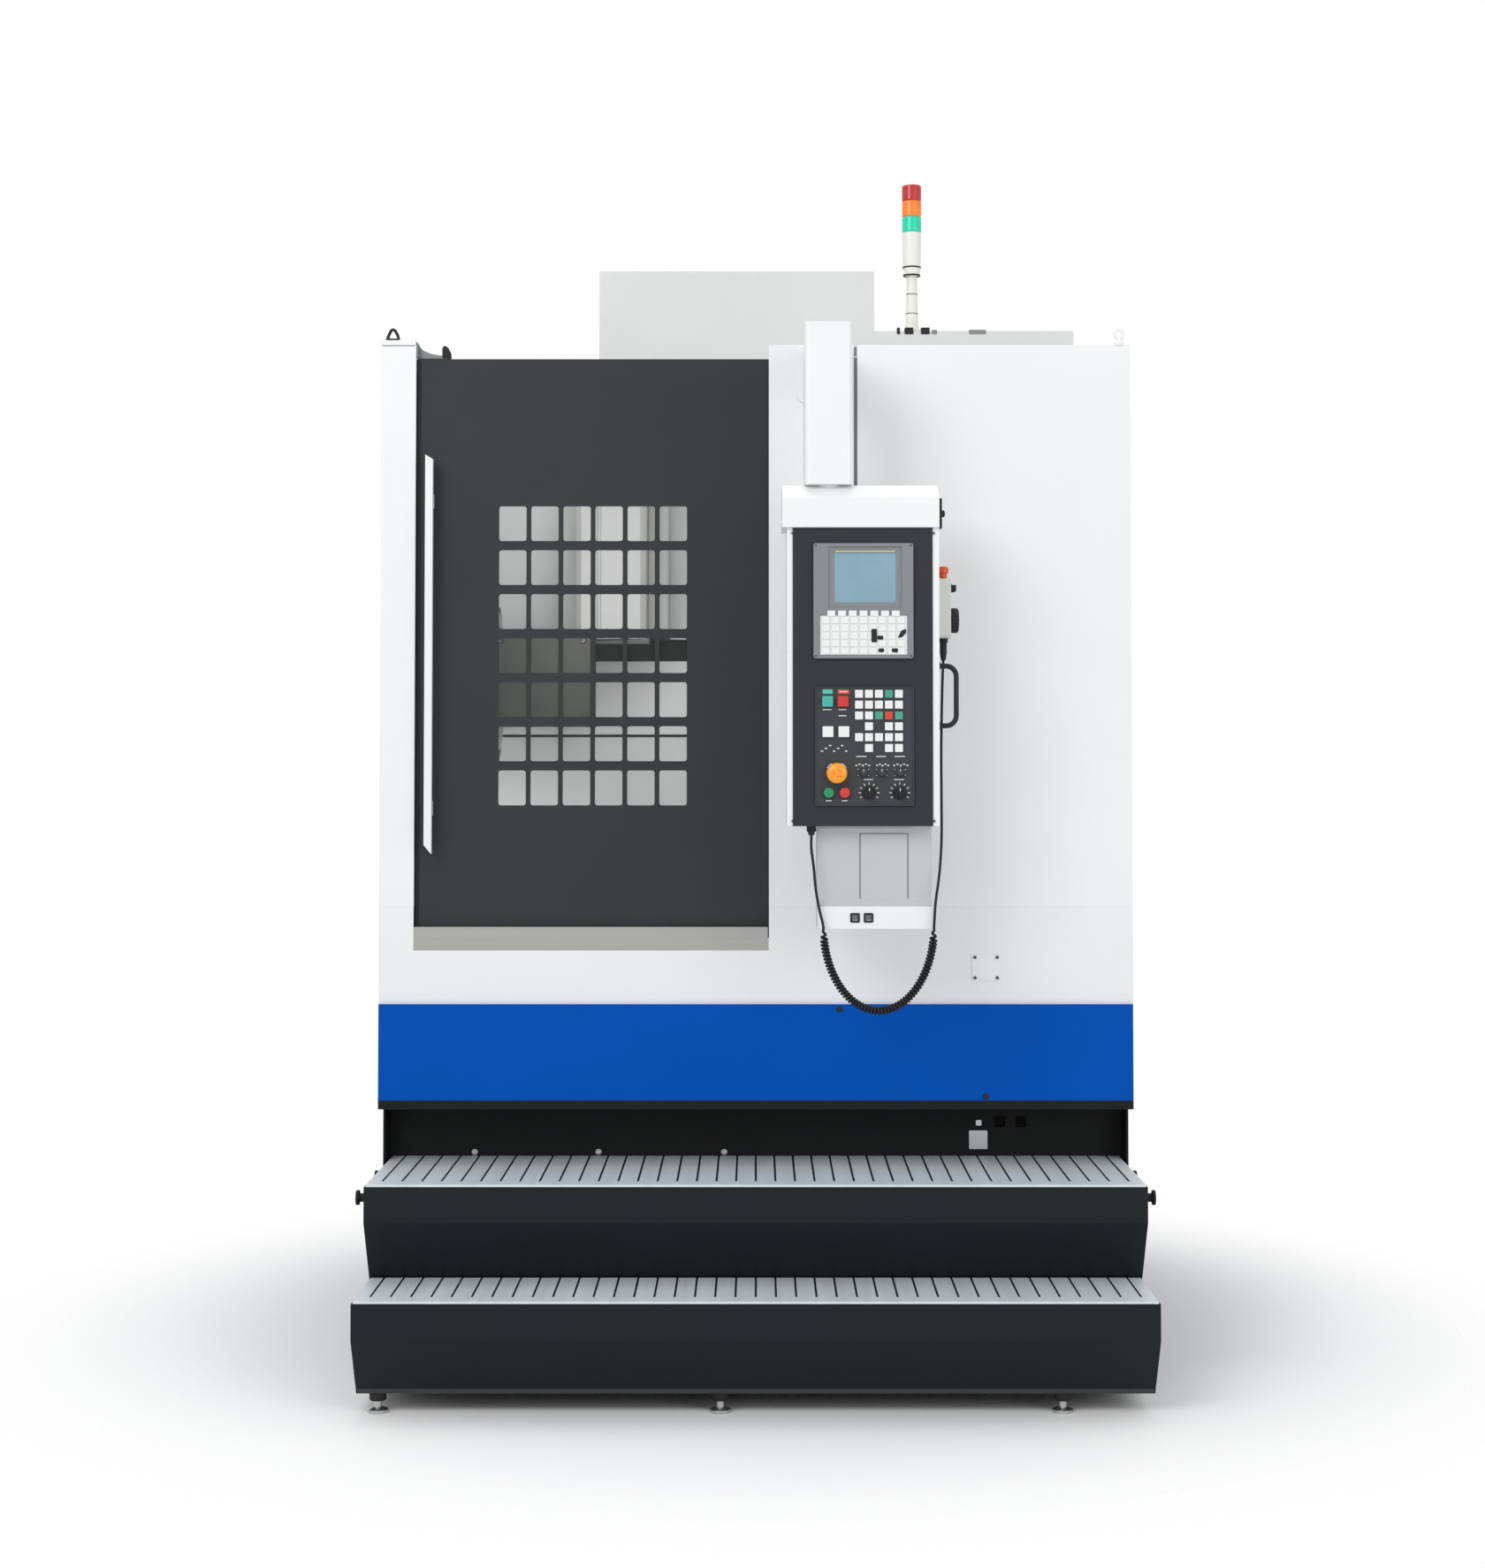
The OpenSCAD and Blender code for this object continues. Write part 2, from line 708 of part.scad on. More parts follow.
module saddle() {
    x0 = ram_x - saddle_w / 2;
    x1 = ram_x + saddle_w / 2;
    seat = ram_y1 + slide_gap;
    color("#C9CBCB") difference() {
        along_z(saddle_z0, saddle_z1) polygon([[x0, cheek_y], [x0 + cheek_w, cheek_y], [x0 + cheek_w, seat],
            [x1 - cheek_w, seat], [x1 - cheek_w, cheek_y], [x1, cheek_y], [x1, saddle_y1], [x0, saddle_y1]]);
        for (z = way_z) along_x(x0 - 1, x1 + 1)
            rect([column_y0 - way_d - slide_gap, z - slide_gap], [column_y0, z + way_h + slide_gap]);
    }
}

// Sheet covers that travel with the saddle in front of the ways
module way_covers() {
    x0 = ram_x - saddle_w / 2;
    x1 = ram_x + saddle_w / 2;
    color("#DFE0DF") upright(cover_y, cover_y + sheet_t) {
        rect([x0 - cover_left, cover_z0], [x0, cover_z1]);
        rect([x1, cover_z0], [x1 + cover_right, cover_z1]);
    }
}

module ram() {
    edge = 16;
    rib = 34;
    color("#CDD0CF") difference() {
        union() {
            along_z(ram_z0, ram_z0 + ram_h) difference() {
                polygon([[ram_x - ram_w / 2 + edge, ram_y0], [ram_x + ram_w / 2 - edge, ram_y0],
                    [ram_x + ram_w / 2, ram_y0 + edge], [ram_x + ram_w / 2, ram_y1],
                    [ram_x - ram_w / 2, ram_y1], [ram_x - ram_w / 2, ram_y0 + edge]]);
                // Service channel down the front face
                rect([ram_x - rib - 6, ram_y0 - 1], [ram_x - rib + 6, ram_y0 + 10]);
            }
            along_x(housing_x0, housing_x1) round_rect([housing_y0, turret_z - housing_h / 2],
                [housing_y1, turret_z + housing_h / 2], 24);
        }
        translate([housing_x0 - 1, spindle_y, turret_z]) rotate([0, 90, 0])
            cylinder(d = hub_d + 2 * run_gap, h = hub_l + 6);
    }
}

module turret_disc() {
    color("#85898A") translate([disc_x0, spindle_y, turret_z]) rotate([0, 90, 0]) {
        difference() {
            rotate(station_step / 2) cylinder(r = flat_r / cos(station_step / 2), h = disc_t, $fn = stations);
            translate([0, 0, -1]) cylinder(r = flat_r * 0.5, h = 13);
        }
        translate([0, 0, 11]) cylinder(r1 = flat_r * 0.36, r2 = flat_r * 0.42, h = 3);
        cylinder(r = flat_r * 0.3, h = 14);
        translate([0, 0, disc_t]) cylinder(d = hub_d, h = hub_l);
    }
}

// Block that clamps a square turning tool, pointing outwards from the disc
module turning_holder() {
    block_h = tool_reach * 0.66;
    translate([flat_r, -36, 6]) cube([block_h, 56, disc_t - 12]);
    translate([flat_r, 20, disc_t / 2 - 13]) cube([tool_reach - 6, 14, 26]);
    translate([flat_r + tool_reach - 14, 20, disc_t / 2 - 8]) cube([14, 20, 16]);
}

// Block with a round boring bar, pointing outwards from the disc
module boring_holder() {
    block_h = tool_reach * 0.7;
    translate([flat_r, 0, disc_t / 2]) rotate([0, 90, 0]) {
        linear_extrude(block_h) round_rect([-disc_t / 2 + 6, -38], [disc_t / 2 - 6, 38], 12);
        cylinder(d = 52, h = block_h + 6);
        cylinder(d = 32, h = tool_reach);
    }
}

module tool_holders() {
    color("#4A4E50") translate([disc_x0, spindle_y, turret_z]) rotate([0, 90, 0])
        for (i = [0 : stations - 1]) rotate(i * station_step) {
            if (i % 2 == 0) boring_holder();
            else turning_holder();
        }
}

// Chamber and door

module chamber_liner() {
    t = sheet_t;
    lip_y = rear_y - 15;
    color("#D3D5D4") {
        along_z(deck_z, tray_z) difference() {
            rect([liner_x0 - t, liner_y0], [liner_x1 + t, liner_y1]);
            translate([spindle_x, spindle_y]) circle(d = barrel_d + 4);
        }
        along_z(tray_z, roof_low) {
            rect([liner_x0 - t, liner_y0], [liner_x0, liner_y1]);
            rect([liner_x1, liner_y0], [liner_x1 + t, liner_y1]);
        }
        along_x(liner_x0, liner_x1) {
            rect([liner_y0, tray_z], [liner_y0 + t, sill_low]);
            rect([rear_y, tray_z], [rear_y + t, chute_low - 8]);
            // Folded chute: front lip, slope and top flange
            polygon([[lip_y, chute_low], [lip_y + t, chute_low], [lip_y + t, chute_low + chute_lip],
                [rear_y + 15, chute_top - t], [rear_y + 25, chute_top - t], [rear_y + 25, chute_top],
                [rear_y + 12, chute_top], [lip_y, chute_low + chute_lip]]);
        }
    }
}

module way_wiper() {
    top = chute_top + wiper_h;
    color("#17181A") along_x(liner_x0, liner_x1) polygon([[rear_y + 12, chute_top], [rear_y + 24, chute_top],
        [rear_y + 24, top], [rear_y + 18, top], [rear_y + 10, top - 14]]);
}

module door_sill() {
    color("#AEAFA8") upright(skin_y, skin_in) rect([open_x0, sill_low], [open_x1 - 3, sill_top]);
}

module door_rails() {
    mid = (door_y0 + door_y1) / 2;
    color("#5B5F62") along_x(-side_in, side_in) {
        difference() {
            rect([skin_in, rail_z0], [rail_y1, rail_z1]);
            rect([mid - tongue_t / 2 - slide_gap, groove_z], [mid + tongue_t / 2 + slide_gap, rail_z1 + 1]);
        }
        rect([hang_y0, hanger_z - hang_h], [hang_y1, hanger_z]);
    }
}

module window_grid() {
    for (i = [0 : pane_cols - 1], k = [0 : pane_rows - 1])
        let (x = window_x0 + i * pane_step_x, z = window_z0 + k * pane_step_z)
            round_rect([x, z], [x + pane_w, z + pane_h], pane_r);
}

module door_panel() {
    mid = (door_y0 + door_y1) / 2;
    color("#3A3D40") {
        upright(door_y0, door_y0 + sheet_t) difference() {
            rect([door_x0, door_z0], [door_x1, door_top]);
            window_grid();
        }
        upright(door_y0, door_y1) difference() {
            rect([door_x0, door_z0], [door_x1, door_top]);
            rect([door_x0 + sheet_t, door_z0 + 12], [door_x1 - sheet_t, door_top - sheet_t]);
        }
        // Tongue that runs in the lower rail
        along_x(door_x0, door_x1)
            rect([mid - tongue_t / 2, groove_z + slide_gap], [mid + tongue_t / 2, door_z0 + 1]);
        // Hangers hooked over the upper rail
        for (x = [door_x0 + 140, door_x1 - 240]) along_x(x, x + hanger_w) polygon([
            [door_y1 - 8, hanger_z + slide_gap], [hang_y1 + slide_gap, hanger_z + slide_gap],
            [hang_y1 + slide_gap, hanger_z - 14], [hang_y1 + 6, hanger_z - 14],
            [hang_y1 + 6, hanger_z + hanger_t], [door_y1 - 8, hanger_z + hanger_t]]);
        // Webs that tie the hangers into the top fold
        for (x = [door_x0 + 140, door_x1 - 240]) along_x(x, x + hanger_w)
            rect([door_y1 - 8, hanger_z], [door_y1 - 4, door_top]);
    }
}

module door_window() {
    color("#AEB6B6") upright(door_y0 + sheet_t, door_y0 + sheet_t + glass_t)
        round_rect([window_x0 - glass_lap, window_z0 - glass_lap],
            [window_x1 + glass_lap, window_z1 + glass_lap], 20);
}

module door_handle() {
    x1 = handle_x + handle_w;
    z1 = handle_z0 + handle_h;
    bar_y = door_y0 - handle_gap;
    color("#EDEDEC") {
        upright(bar_y - handle_t, bar_y) polygon([[handle_x, handle_z0 + handle_slant], [x1, handle_z0],
            [x1, z1 - handle_slant / 2], [handle_x, z1]]);
        for (z = [handle_z0 + handle_post_z, z1 - handle_post_z]) upright(bar_y, door_y0)
            round_rect([handle_x + 2, z - 22], [x1 - 2, z + 22], 6);
    }
}

// White panels, blue band and kick plate

module front_apron() {
    color("#E9EAEA") upright(skin_y, skin_in) difference() {
        rect([-half_w, band_top], [half_w, apron_top]);
        rect([open_x0, sill_low], [open_x1, apron_top + 1]);
    }
}

module left_panel() {
    color("#F0F0F0") {
        along_z(apron_top, panel_top) {
            rect([-half_w, skin_y], [open_x0, skin_in]);
            rect([open_x0 - sheet_t, skin_y], [open_x0, skin_y + fold_w]);
        }
        along_z(band_top, panel_top) rect([-half_w, skin_in], [-side_in, back_y]);
        along_z(apron_top, panel_top) rect([-half_w, skin_y], [-side_in, back_y]);
        along_z(band_top, roof_z) rect([-half_w, back_y - sheet_t], [hood_x0, back_y]);
        // Folded top edge of the pillar and the side
        along_z(panel_top - sheet_t, panel_top) {
            rect([-half_w, skin_y], [open_x0, skin_y + fold_w]);
            rect([-half_w, skin_y], [-half_w + fold_w, back_y]);
        }
    }
}

module right_front_panel() {
    color("#F0F0F0") difference() {
        union() {
            along_z(apron_top, panel_top) {
                rect([open_x1, skin_y], [half_w, skin_in]);
                rect([open_x1, skin_y], [open_x1 + sheet_t, skin_y + fold_w]);
            }
            along_z(panel_top - sheet_t, panel_top) rect([open_x1, skin_y], [side_in, skin_y + fold_w]);
        }
        // Dark groove between the pendant strip and the wide panel
        upright(skin_y - 1, skin_y + fold_w + 1)
            rect([groove_x, apron_top + 30], [groove_x + groove_w, panel_top + 1]);
    }
}

module right_panel() {
    slots = 9;
    slot_y0 = cabinet_y0 - 200;
    color("#F0F0F0") difference() {
        union() {
            along_z(band_top, panel_top) rect([side_in, skin_in], [half_w, back_y]);
            along_z(panel_top - sheet_t, panel_top)
                rect([half_w - fold_w, skin_y + fold_w], [half_w, back_y]);
        }
        // Air slots beside the electrical cabinet
        for (i = [0 : slots - 1]) along_x(side_in - 1, half_w + 1)
            round_rect([slot_y0, apron_top + 60 + i * 36], [slot_y0 + 180, apron_top + 72 + i * 36], 5);
    }
}

module blue_band() {
    t = sheet_t;
    color("#0A50AE") difference() {
        along_z(band_low, band_top) round_rect([-half_w, front_y], [half_w, back_y], band_r);
        along_z(band_low - 1, band_top - t)
            round_rect([-half_w + t, front_y + t], [half_w - t, back_y - t], band_r - t);
        along_z(band_low, band_top + 1)
            rect([-half_w + band_shelf, front_y + band_shelf], [half_w - band_shelf, back_y - band_shelf]);
    }
}

module kick_plate() {
    hole_s = 30;
    color("#1B1C1E") difference() {
        union() {
            along_z(kick_low, kick_top + 1) {
                rect([-half_w, kick_y], [half_w, kick_y + kick_t]);
                rect([-half_w, back_y - kick_t], [half_w, back_y]);
                for (x = [-half_w, half_w - kick_t]) rect([x, front_y + kick_wing], [x + kick_t, back_y]);
            }
            along_z(kick_top, band_low) difference() {
                round_rect([-half_w, front_y], [half_w, back_y], band_r);
                rect([-half_w + lip_in, kick_y + kick_t], [half_w - lip_in, back_y - lip_in]);
            }
        }
        // Two square cable holes at the right
        for (x = [half_w - 352, half_w - 295]) upright(kick_y - 1, kick_y + kick_t + 1)
            round_rect([x, kick_top - 73], [x + hole_s, kick_top - 73 + hole_s], 5);
    }
}

module roof_panel() {
    duct_y1 = duct_y0 + duct_d;
    duct_top = roof_z + duct_h;
    color("#E4E5E4") {
        along_z(roof_low, roof_z) difference() {
            rect([-side_in, skin_in], [side_in, back_y - sheet_t]);
            // Open top over the work chamber and the door track
            rect([-side_in - 1, skin_in - 1], [liner_x1, hood_y0 - 10]);
            // Opening under the column hood
            rect([hood_x0 + sheet_t, hood_y0 + sheet_t], [hood_x1 - sheet_t, back_y - sheet_t + 1]);
        }
        // Cable duct folded from sheet
        along_z(roof_z, duct_top) difference() {
            rect([duct_x0, duct_y0], [duct_x1, duct_y1]);
            rect([duct_x0 + sheet_t, duct_y0 + sheet_t], [duct_x1 - sheet_t, duct_y1 - sheet_t]);
        }
        along_z(duct_top - sheet_t, duct_top) rect([duct_x0, duct_y0], [duct_x1, duct_y1]);
    }
}

// Hood over the column top, with a rear skin down to the band
module column_hood() {
    t = sheet_t;
    slots = 8;
    color("#DADBDA") difference() {
        union() {
            along_z(roof_z, hood_top) difference() {
                rect([hood_x0, hood_y0], [hood_x1, back_y]);
                rect([hood_x0 + t, hood_y0 + t], [hood_x1 - t, back_y - t]);
            }
            along_z(hood_top - t, hood_top) rect([hood_x0, hood_y0], [hood_x1, back_y]);
            upright(back_y - t, back_y) rect([hood_x0, band_top], [cabinet_x0, hood_top - t]);
        }
        // Air slots in the rear skin
        for (i = [0 : slots - 1], x = [hood_x0 + 120, hood_x0 + 480]) upright(back_y - t - 1, back_y + 1)
            round_rect([x, apron_top + 60 + i * 40], [x + 240, apron_top + 74 + i * 40], 6);
    }
}

// Signal tower

module signal_pole() {
    r = lamp_d / 2;
    color("#E6E3D8") translate([tower_x, tower_y, tower_z]) {
        rotate_extrude() polygon([[0, 0], [34, 0], [34, 5], [18, 10], [13.5, pole_h], [r - 4, pole_h],
            [r - 4, pole_h + collar_h - 8], [r - 2, pole_h + collar_h], [r - 1, pole_h + collar_h + module_h],
            [0, pole_h + collar_h + module_h]]);
        for (a = [45 : 90 : 315]) rotate(a) translate([24, 0, 0]) cylinder(r = 4, h = 9);
    }
}

// Lamp lens i, counted from the base module
module lamp_lens(i) {
    r = lamp_d / 2;
    translate([tower_x, tower_y, lamps_z + i * lamp_h]) rotate_extrude()
        polygon([[0, 0], [r - 2, 0], [r, 3], [r, lamp_h - 3], [r - 2, lamp_h], [0, lamp_h]]);
}

module lamp_green() { color("#3FA24A") lamp_lens(0); }
module lamp_amber() { color("#E9A13A") lamp_lens(1); }
module lamp_red() { color("#D8402C") lamp_lens(2); }

// Steps

module step_frame() {
    top_low = tread_low - tread_t;
    top_high = tread_high - tread_t;
    side = [[nose_y + toe_setback, step_clear], [nose_y, tread_low - fascia_h], [nose_y, top_low],
        [riser_y, top_low], [nose2_y, tread_high - fascia_h], [nose2_y, top_high], [step_back_y, top_high],
        [step_back_y, step_clear]];
    color("#22292B") {
        difference() {
            along_x(-step_half, step_half) polygon(side);
            along_x(-step_half + step_t, step_half - step_t) polygon(inset(side, step_t));
            along_z(step_clear - 1, step_clear + step_t + 1)
                rect([-step_half + step_flange, nose_y + toe_setback + step_flange],
                    [step_half - step_flange, step_back_y - step_flange]);
        }
        // Side studs with flanged heads, used to lift the steps
        for (m = [0, 1], y = [nose2_y + 60, step_back_y - 110]) mirror([m, 0, 0])
            translate([step_half - 1, y, tread_high - 42]) rotate([0, 90, 0]) {
                cylinder(d = 22, h = 24);
                translate([0, 0, 20]) cylinder(d = 38, h = 8);
            }
    }
}

// Grooved tread plate between two depths, its top at z
module tread(y0, y1, z) {
    x0 = -step_half + tread_edge;
    x1 = step_half - tread_edge;
    count = floor((x1 - x0 - groove_pitch) / groove_pitch);
    start = -count * groove_pitch / 2;
    difference() {
        along_z(z - tread_t, z) rect([x0, y0], [x1, y1]);
        along_z(z - groove_deep, z + 1) for (i = [0 : count]) let (x = start + i * groove_pitch)
            rect([x - groove_wide / 2, y0 + nosing], [x + groove_wide / 2, y1 + 1]);
    }
}

module step_treads() {
    color("#8E999B") {
        tread(nose_y, riser_y - tread_back, tread_low);
        tread(nose2_y, step_back_y - 2, tread_high);
    }
}

// Electrical cabinet

module cabinet() {
    t = sheet_t;
    color("#DCDDDC") {
        difference() {
            upright(cabinet_y0, cabinet_y1) rect([cabinet_x0, deck_z], [cabinet_x1, roof_low]);
            upright(cabinet_y0 + t, cabinet_y1 + 1)
                rect([cabinet_x0 + t, deck_z + t], [cabinet_x1 - t, roof_low - t]);
        }
        // Lower halves of the lift-off hinges, each with its pin
        for (z = hinge_z) {
            along_z(z, z + hinge_h) rect([hinge_x - 2, cabinet_y1 - 30], [cabinet_x1, hinge_y]);
            translate([hinge_x, hinge_y, z]) {
                cylinder(r = hinge_r, h = hinge_h);
                cylinder(r = hinge_pin_r, h = 2 * hinge_h - 4);
            }
        }
    }
}

module cabinet_door() {
    slots = 6;
    slot_half = 150;
    t = sheet_t;
    x0 = door_leaf_x0;
    x1 = door_leaf_x1;
    y1 = door_leaf_y0 + door_leaf_t;
    color("#E2E3E2") difference() {
        union() {
            upright(door_leaf_y0, y1) difference() {
                rect([x0, door_leaf_z0], [x1, door_leaf_z1]);
                rect([x0 + t, door_leaf_z0 + t], [x1 - t, door_leaf_z1 - t]);
            }
            upright(y1 - t, y1) rect([x0, door_leaf_z0], [x1, door_leaf_z1]);
            // Upper halves of the hinges
            for (z = hinge_z) let (low = z + hinge_h + slide_gap) {
                along_z(low, z + 2 * hinge_h) rect([x1 - 20, y1 - 8], [hinge_x, y1 - 4]);
                translate([hinge_x, hinge_y, low]) cylinder(r = hinge_r, h = hinge_h - slide_gap);
            }
            // Boss behind the main switch
            translate([switch_x, y1 - 1, switch_z]) rotate([90, 0, 0]) cylinder(d = switch_d, h = 14);
        }
        for (z = hinge_z) translate([hinge_x, hinge_y, z])
            cylinder(r = hinge_pin_r + run_gap, h = 3 * hinge_h);
        translate([switch_x, y1 + 1, switch_z]) rotate([90, 0, 0])
            cylinder(d = switch_pin_d + 2 * run_gap, h = 40);
        // Air slots low in the door
        for (i = [0 : slots - 1]) upright(y1 - t - 1, y1 + 1) let (z = door_leaf_z0 + 120 + i * 36)
            round_rect([switch_x - slot_half, z], [switch_x + slot_half, z + 12], 5);
    }
}

module main_switch() {
    y1 = door_leaf_y0 + door_leaf_t + slide_gap;
    grip = 12;
    color("#2A2C2E") translate([switch_x, y1, switch_z]) rotate([-90, 0, 0]) {
        cylinder(d = switch_d, h = 1.5);
        translate([0, 0, -14]) cylinder(d = switch_pin_d, h = 15);
        linear_extrude(back_y - y1)
            round_rect([-grip / 2, -switch_d / 2 + 4], [grip / 2, switch_d / 2 - 4], 5);
    }
}

// Pendant

module pendant_post() {
    corner = 14;
    color("#EFEFEE") {
        along_z(post_low, panel_top) round_rect([post_x - post_w / 2, post_y - post_w / 2],
            [post_x + post_w / 2, post_y + post_w / 2], corner);
        upright(post_y, skin_y) round_rect([post_x - arm_w / 2, panel_top - arm_h - 12],
            [post_x + arm_w / 2, panel_top - 12], corner);
        // Wall flange of the arm
        upright(skin_y - 10, skin_y) round_rect([post_x - arm_w / 2 - 22, panel_top - arm_h - 34],
            [min(post_x + arm_w / 2 + 22, groove_x), panel_top - 4], corner);
        translate([post_x, post_y, post_low - spigot_h]) cylinder(d = spigot_d, h = spigot_h + 1);
    }
}

module pendant_box() {
    t = sheet_t;
    socket = [20, 12];
    color("#ECECEB") difference() {
        union() {
            along_x(pendant_left, pendant_x1) rect([pendant_y0, pendant_low], [pendant_y1, pendant_top]);
            along_x(pendant_left - head_lap, pendant_x1) polygon([[pendant_y0 - head_lap, pendant_top],
                [pendant_y1, pendant_top], [pendant_y1, head_top], [pendant_y0 + 50, head_top],
                [pendant_y0 - head_lap, head_top - head_bevel]]);
            along_x(knee_x0, knee_x1) polygon([[knee_y0, pendant_low + t],
                [knee_y0, knee_low + knee_lip + 20], [knee_y0 - 20, knee_low + knee_lip],
                [knee_y0 - 20, knee_low], [pendant_y1 - 10, knee_low], [pendant_y1 - 10, pendant_low + t]]);
        }
        upright(pendant_y0 + t, pendant_y1 - t)
            rect([pendant_left + t, pendant_low + t], [pendant_x1 - t, pendant_top - t]);
        upright(pendant_y0 - 1, pendant_y0 + t + 1)
            rect([face_x0 + 10, pendant_low + 17], [face_x1 - 10, pendant_top - 14]);
        translate([post_x, post_y, head_top - spigot_h])
            cylinder(d = spigot_d + 2 * run_gap, h = spigot_h + 1);
        // Two data sockets in the knee lip
        for (x = [knee_x0 + 95, knee_x0 + 129]) upright(knee_y0 - 21, knee_y0 - 8)
            translate([x, knee_low + knee_lip / 2]) square(socket, center = true);
    }
}

module pendant_face() {
    color("#33363A") difference() {
        upright(face_y, pendant_y0) rect([face_x0, pendant_low], [face_x1, pendant_top - 1]);
        for (at = stem_places) stem_hole(at, stem_d + 2 * hole_gap);
        for (at = [feed_at, speed_at]) stem_hole(at, knob_pin_d + 2 * run_gap);
    }
}

// Screen outline with a border of the given width round it
module screen_outline(border) {
    rect([screen_x0 - border, screen_z0 - border],
        [screen_x0 + screen_w + border, screen_z0 + screen_h + border]);
}

module display_unit() {
    color("#828689") difference() {
        upright(unit_y, face_y) round_rect([unit_x0, unit_z0], [unit_x0 + unit_w, unit_z0 + unit_h], 6);
        upright(unit_y - 1, unit_y + screen_drop) screen_outline(bezel);
        upright(unit_y - 1, unit_y + screen_drop + screen_t) screen_outline(0);
    }
}

module screen() {
    color("#86A9B8") upright(unit_y + screen_drop, unit_y + screen_drop + screen_t) screen_outline(0);
}

module key(x, y, z, w, h, t) {
    upright(y - t, y) round_rect([x - w / 2, z - h / 2], [x + w / 2, z + h / 2], 1.5);
}

// Soft keys and data keys on the display unit, function keys on the operator plate
module key_caps() {
    mid_x = unit_x0 + unit_w / 2;
    flat_h = key_h - 1;
    color("#E8E9E6") {
        for (i = [0 : soft_keys - 1]) let (x = mid_x + (i - (soft_keys - 1) / 2) * soft_pitch)
            key(x, unit_y, unit_z0 + 113, soft_w, soft_h, flat_h);
        for (i = [0 : mdi_cols - 1], k = [0 : mdi_rows - 1])
            let (x = mid_x + (i - (mdi_cols - 1) / 2) * mdi_pitch_x)
                key(x, unit_y, unit_z0 + 18 + k * mdi_pitch_z, mdi_s, mdi_h, flat_h);
        for (r = [0 : len(key_rows) - 1], c = key_rows[r])
            key(keys_x0 + c * key_pitch_x, plate_y, keys_z1 - r * key_pitch_z, key_s, key_s, key_h);
        for (at = white_at) key(at[0], plate_y, at[1], square_s, square_s, key_h + 3);
    }
}

// Plate with a raised rim, button collars and three small rotary switches
module operator_plate() {
    x1 = plate_x0 + plate_w;
    z1 = plate_z0 + plate_h;
    small_r = small_knob_d / 2;
    color("#45484B") difference() {
        union() {
            upright(plate_y, face_y) rect([plate_x0, plate_z0], [x1, z1]);
            upright(plate_y - rim_h, plate_y) difference() {
                rect([plate_x0, plate_z0], [x1, z1]);
                rect([plate_x0 + rim_w, plate_z0 + rim_w], [x1 - rim_w, z1 - rim_w]);
            }
            for (at = [start_at, hold_at]) turned_front(at[0], plate_y, at[1])
                rect([button_d / 2 + hole_gap, -1], [button_d / 2 + 3, 5]);
            turned_front(stop_at[0], plate_y, stop_at[1])
                rect([stem_d / 2 + hole_gap, -1], [stop_d / 2 - 6, stop_collar]);
            for (at = small_at) turned_front(at[0], plate_y, at[1]) polygon([[0, -1], [small_r + 2, -1],
                [small_r + 2, 2], [small_r, 3], [small_r - 2, 14], [0, 14]]);
        }
        for (at = stem_places) stem_hole(at, stem_d + 2 * hole_gap);
        for (at = [feed_at, speed_at]) stem_hole(at, knob_pin_d + 2 * run_gap);
    }
}

// Stem of a push button, from its cap back through the plates
module stem(at, front) {
    translate([at[0], front, at[1]]) rotate([-90, 0, 0]) cylinder(d = stem_d, h = plate_y - front + stem_l);
}

module round_button(at) {
    back = plate_y - press - slide_gap;
    r = button_d / 2;
    stem(at, back - 1);
    turned_front(at[0], back, at[1])
        polygon([[0, 0], [r, 0], [r, cap_h - 2], [r - 2, cap_h], [0, cap_h - 1]]);
}

module square_button(at) {
    back = plate_y - press - slide_gap;
    stem(at, back - 1);
    upright(back - cap_h + 3, back)
        translate(at) round_rect([-square_s / 2, -square_s / 2], [square_s / 2, square_s / 2], 3);
}

module cycle_start() { color("#2E9A45") round_button(start_at); }
module feed_hold() { color("#C8322B") round_button(hold_at); }
module power_on() { color("#2F9C8C") square_button(power_on_at); }
module power_off() { color("#C23A34") square_button(power_off_at); }

module emergency_stop() {
    back = plate_y - stop_collar - press - slide_gap;
    r = stop_d / 2;
    color("#F6A02B") {
        stem(stop_at, back - 1);
        turned_front(stop_at[0], back, stop_at[1]) polygon([[0, 0], [r - 9, 0], [r - 8, 6], [r - 1, 9],
            [r, 13], [r - 2, 18], [r - 7, 21], [r * 0.5, 23], [0, 24]]);
    }
}

// Rotary knob with a pointer ridge, on a pin through the plates
module rotary_knob(at) {
    back = plate_y - slide_gap;
    r = knob_d / 2;
    color("#1F2123") {
        translate([at[0], back - 1, at[1]]) rotate([-90, 0, 0]) cylinder(d = knob_pin_d, h = stem_l);
        turned_front(at[0], back, at[1]) polygon([[0, 0], [r, 0], [r, 4], [r - 3, 6], [r - 4, knob_h - 6],
            [r - 6, knob_h - 4], [0, knob_h - 4]]);
        upright(back - knob_h, back - knob_h + 5)
            translate(at) round_rect([-2.5, -r + 5], [2.5, r - 5], 2);
    }
}

module feed_knob() { rotary_knob(feed_at); }
module speed_knob() { rotary_knob(speed_at); }

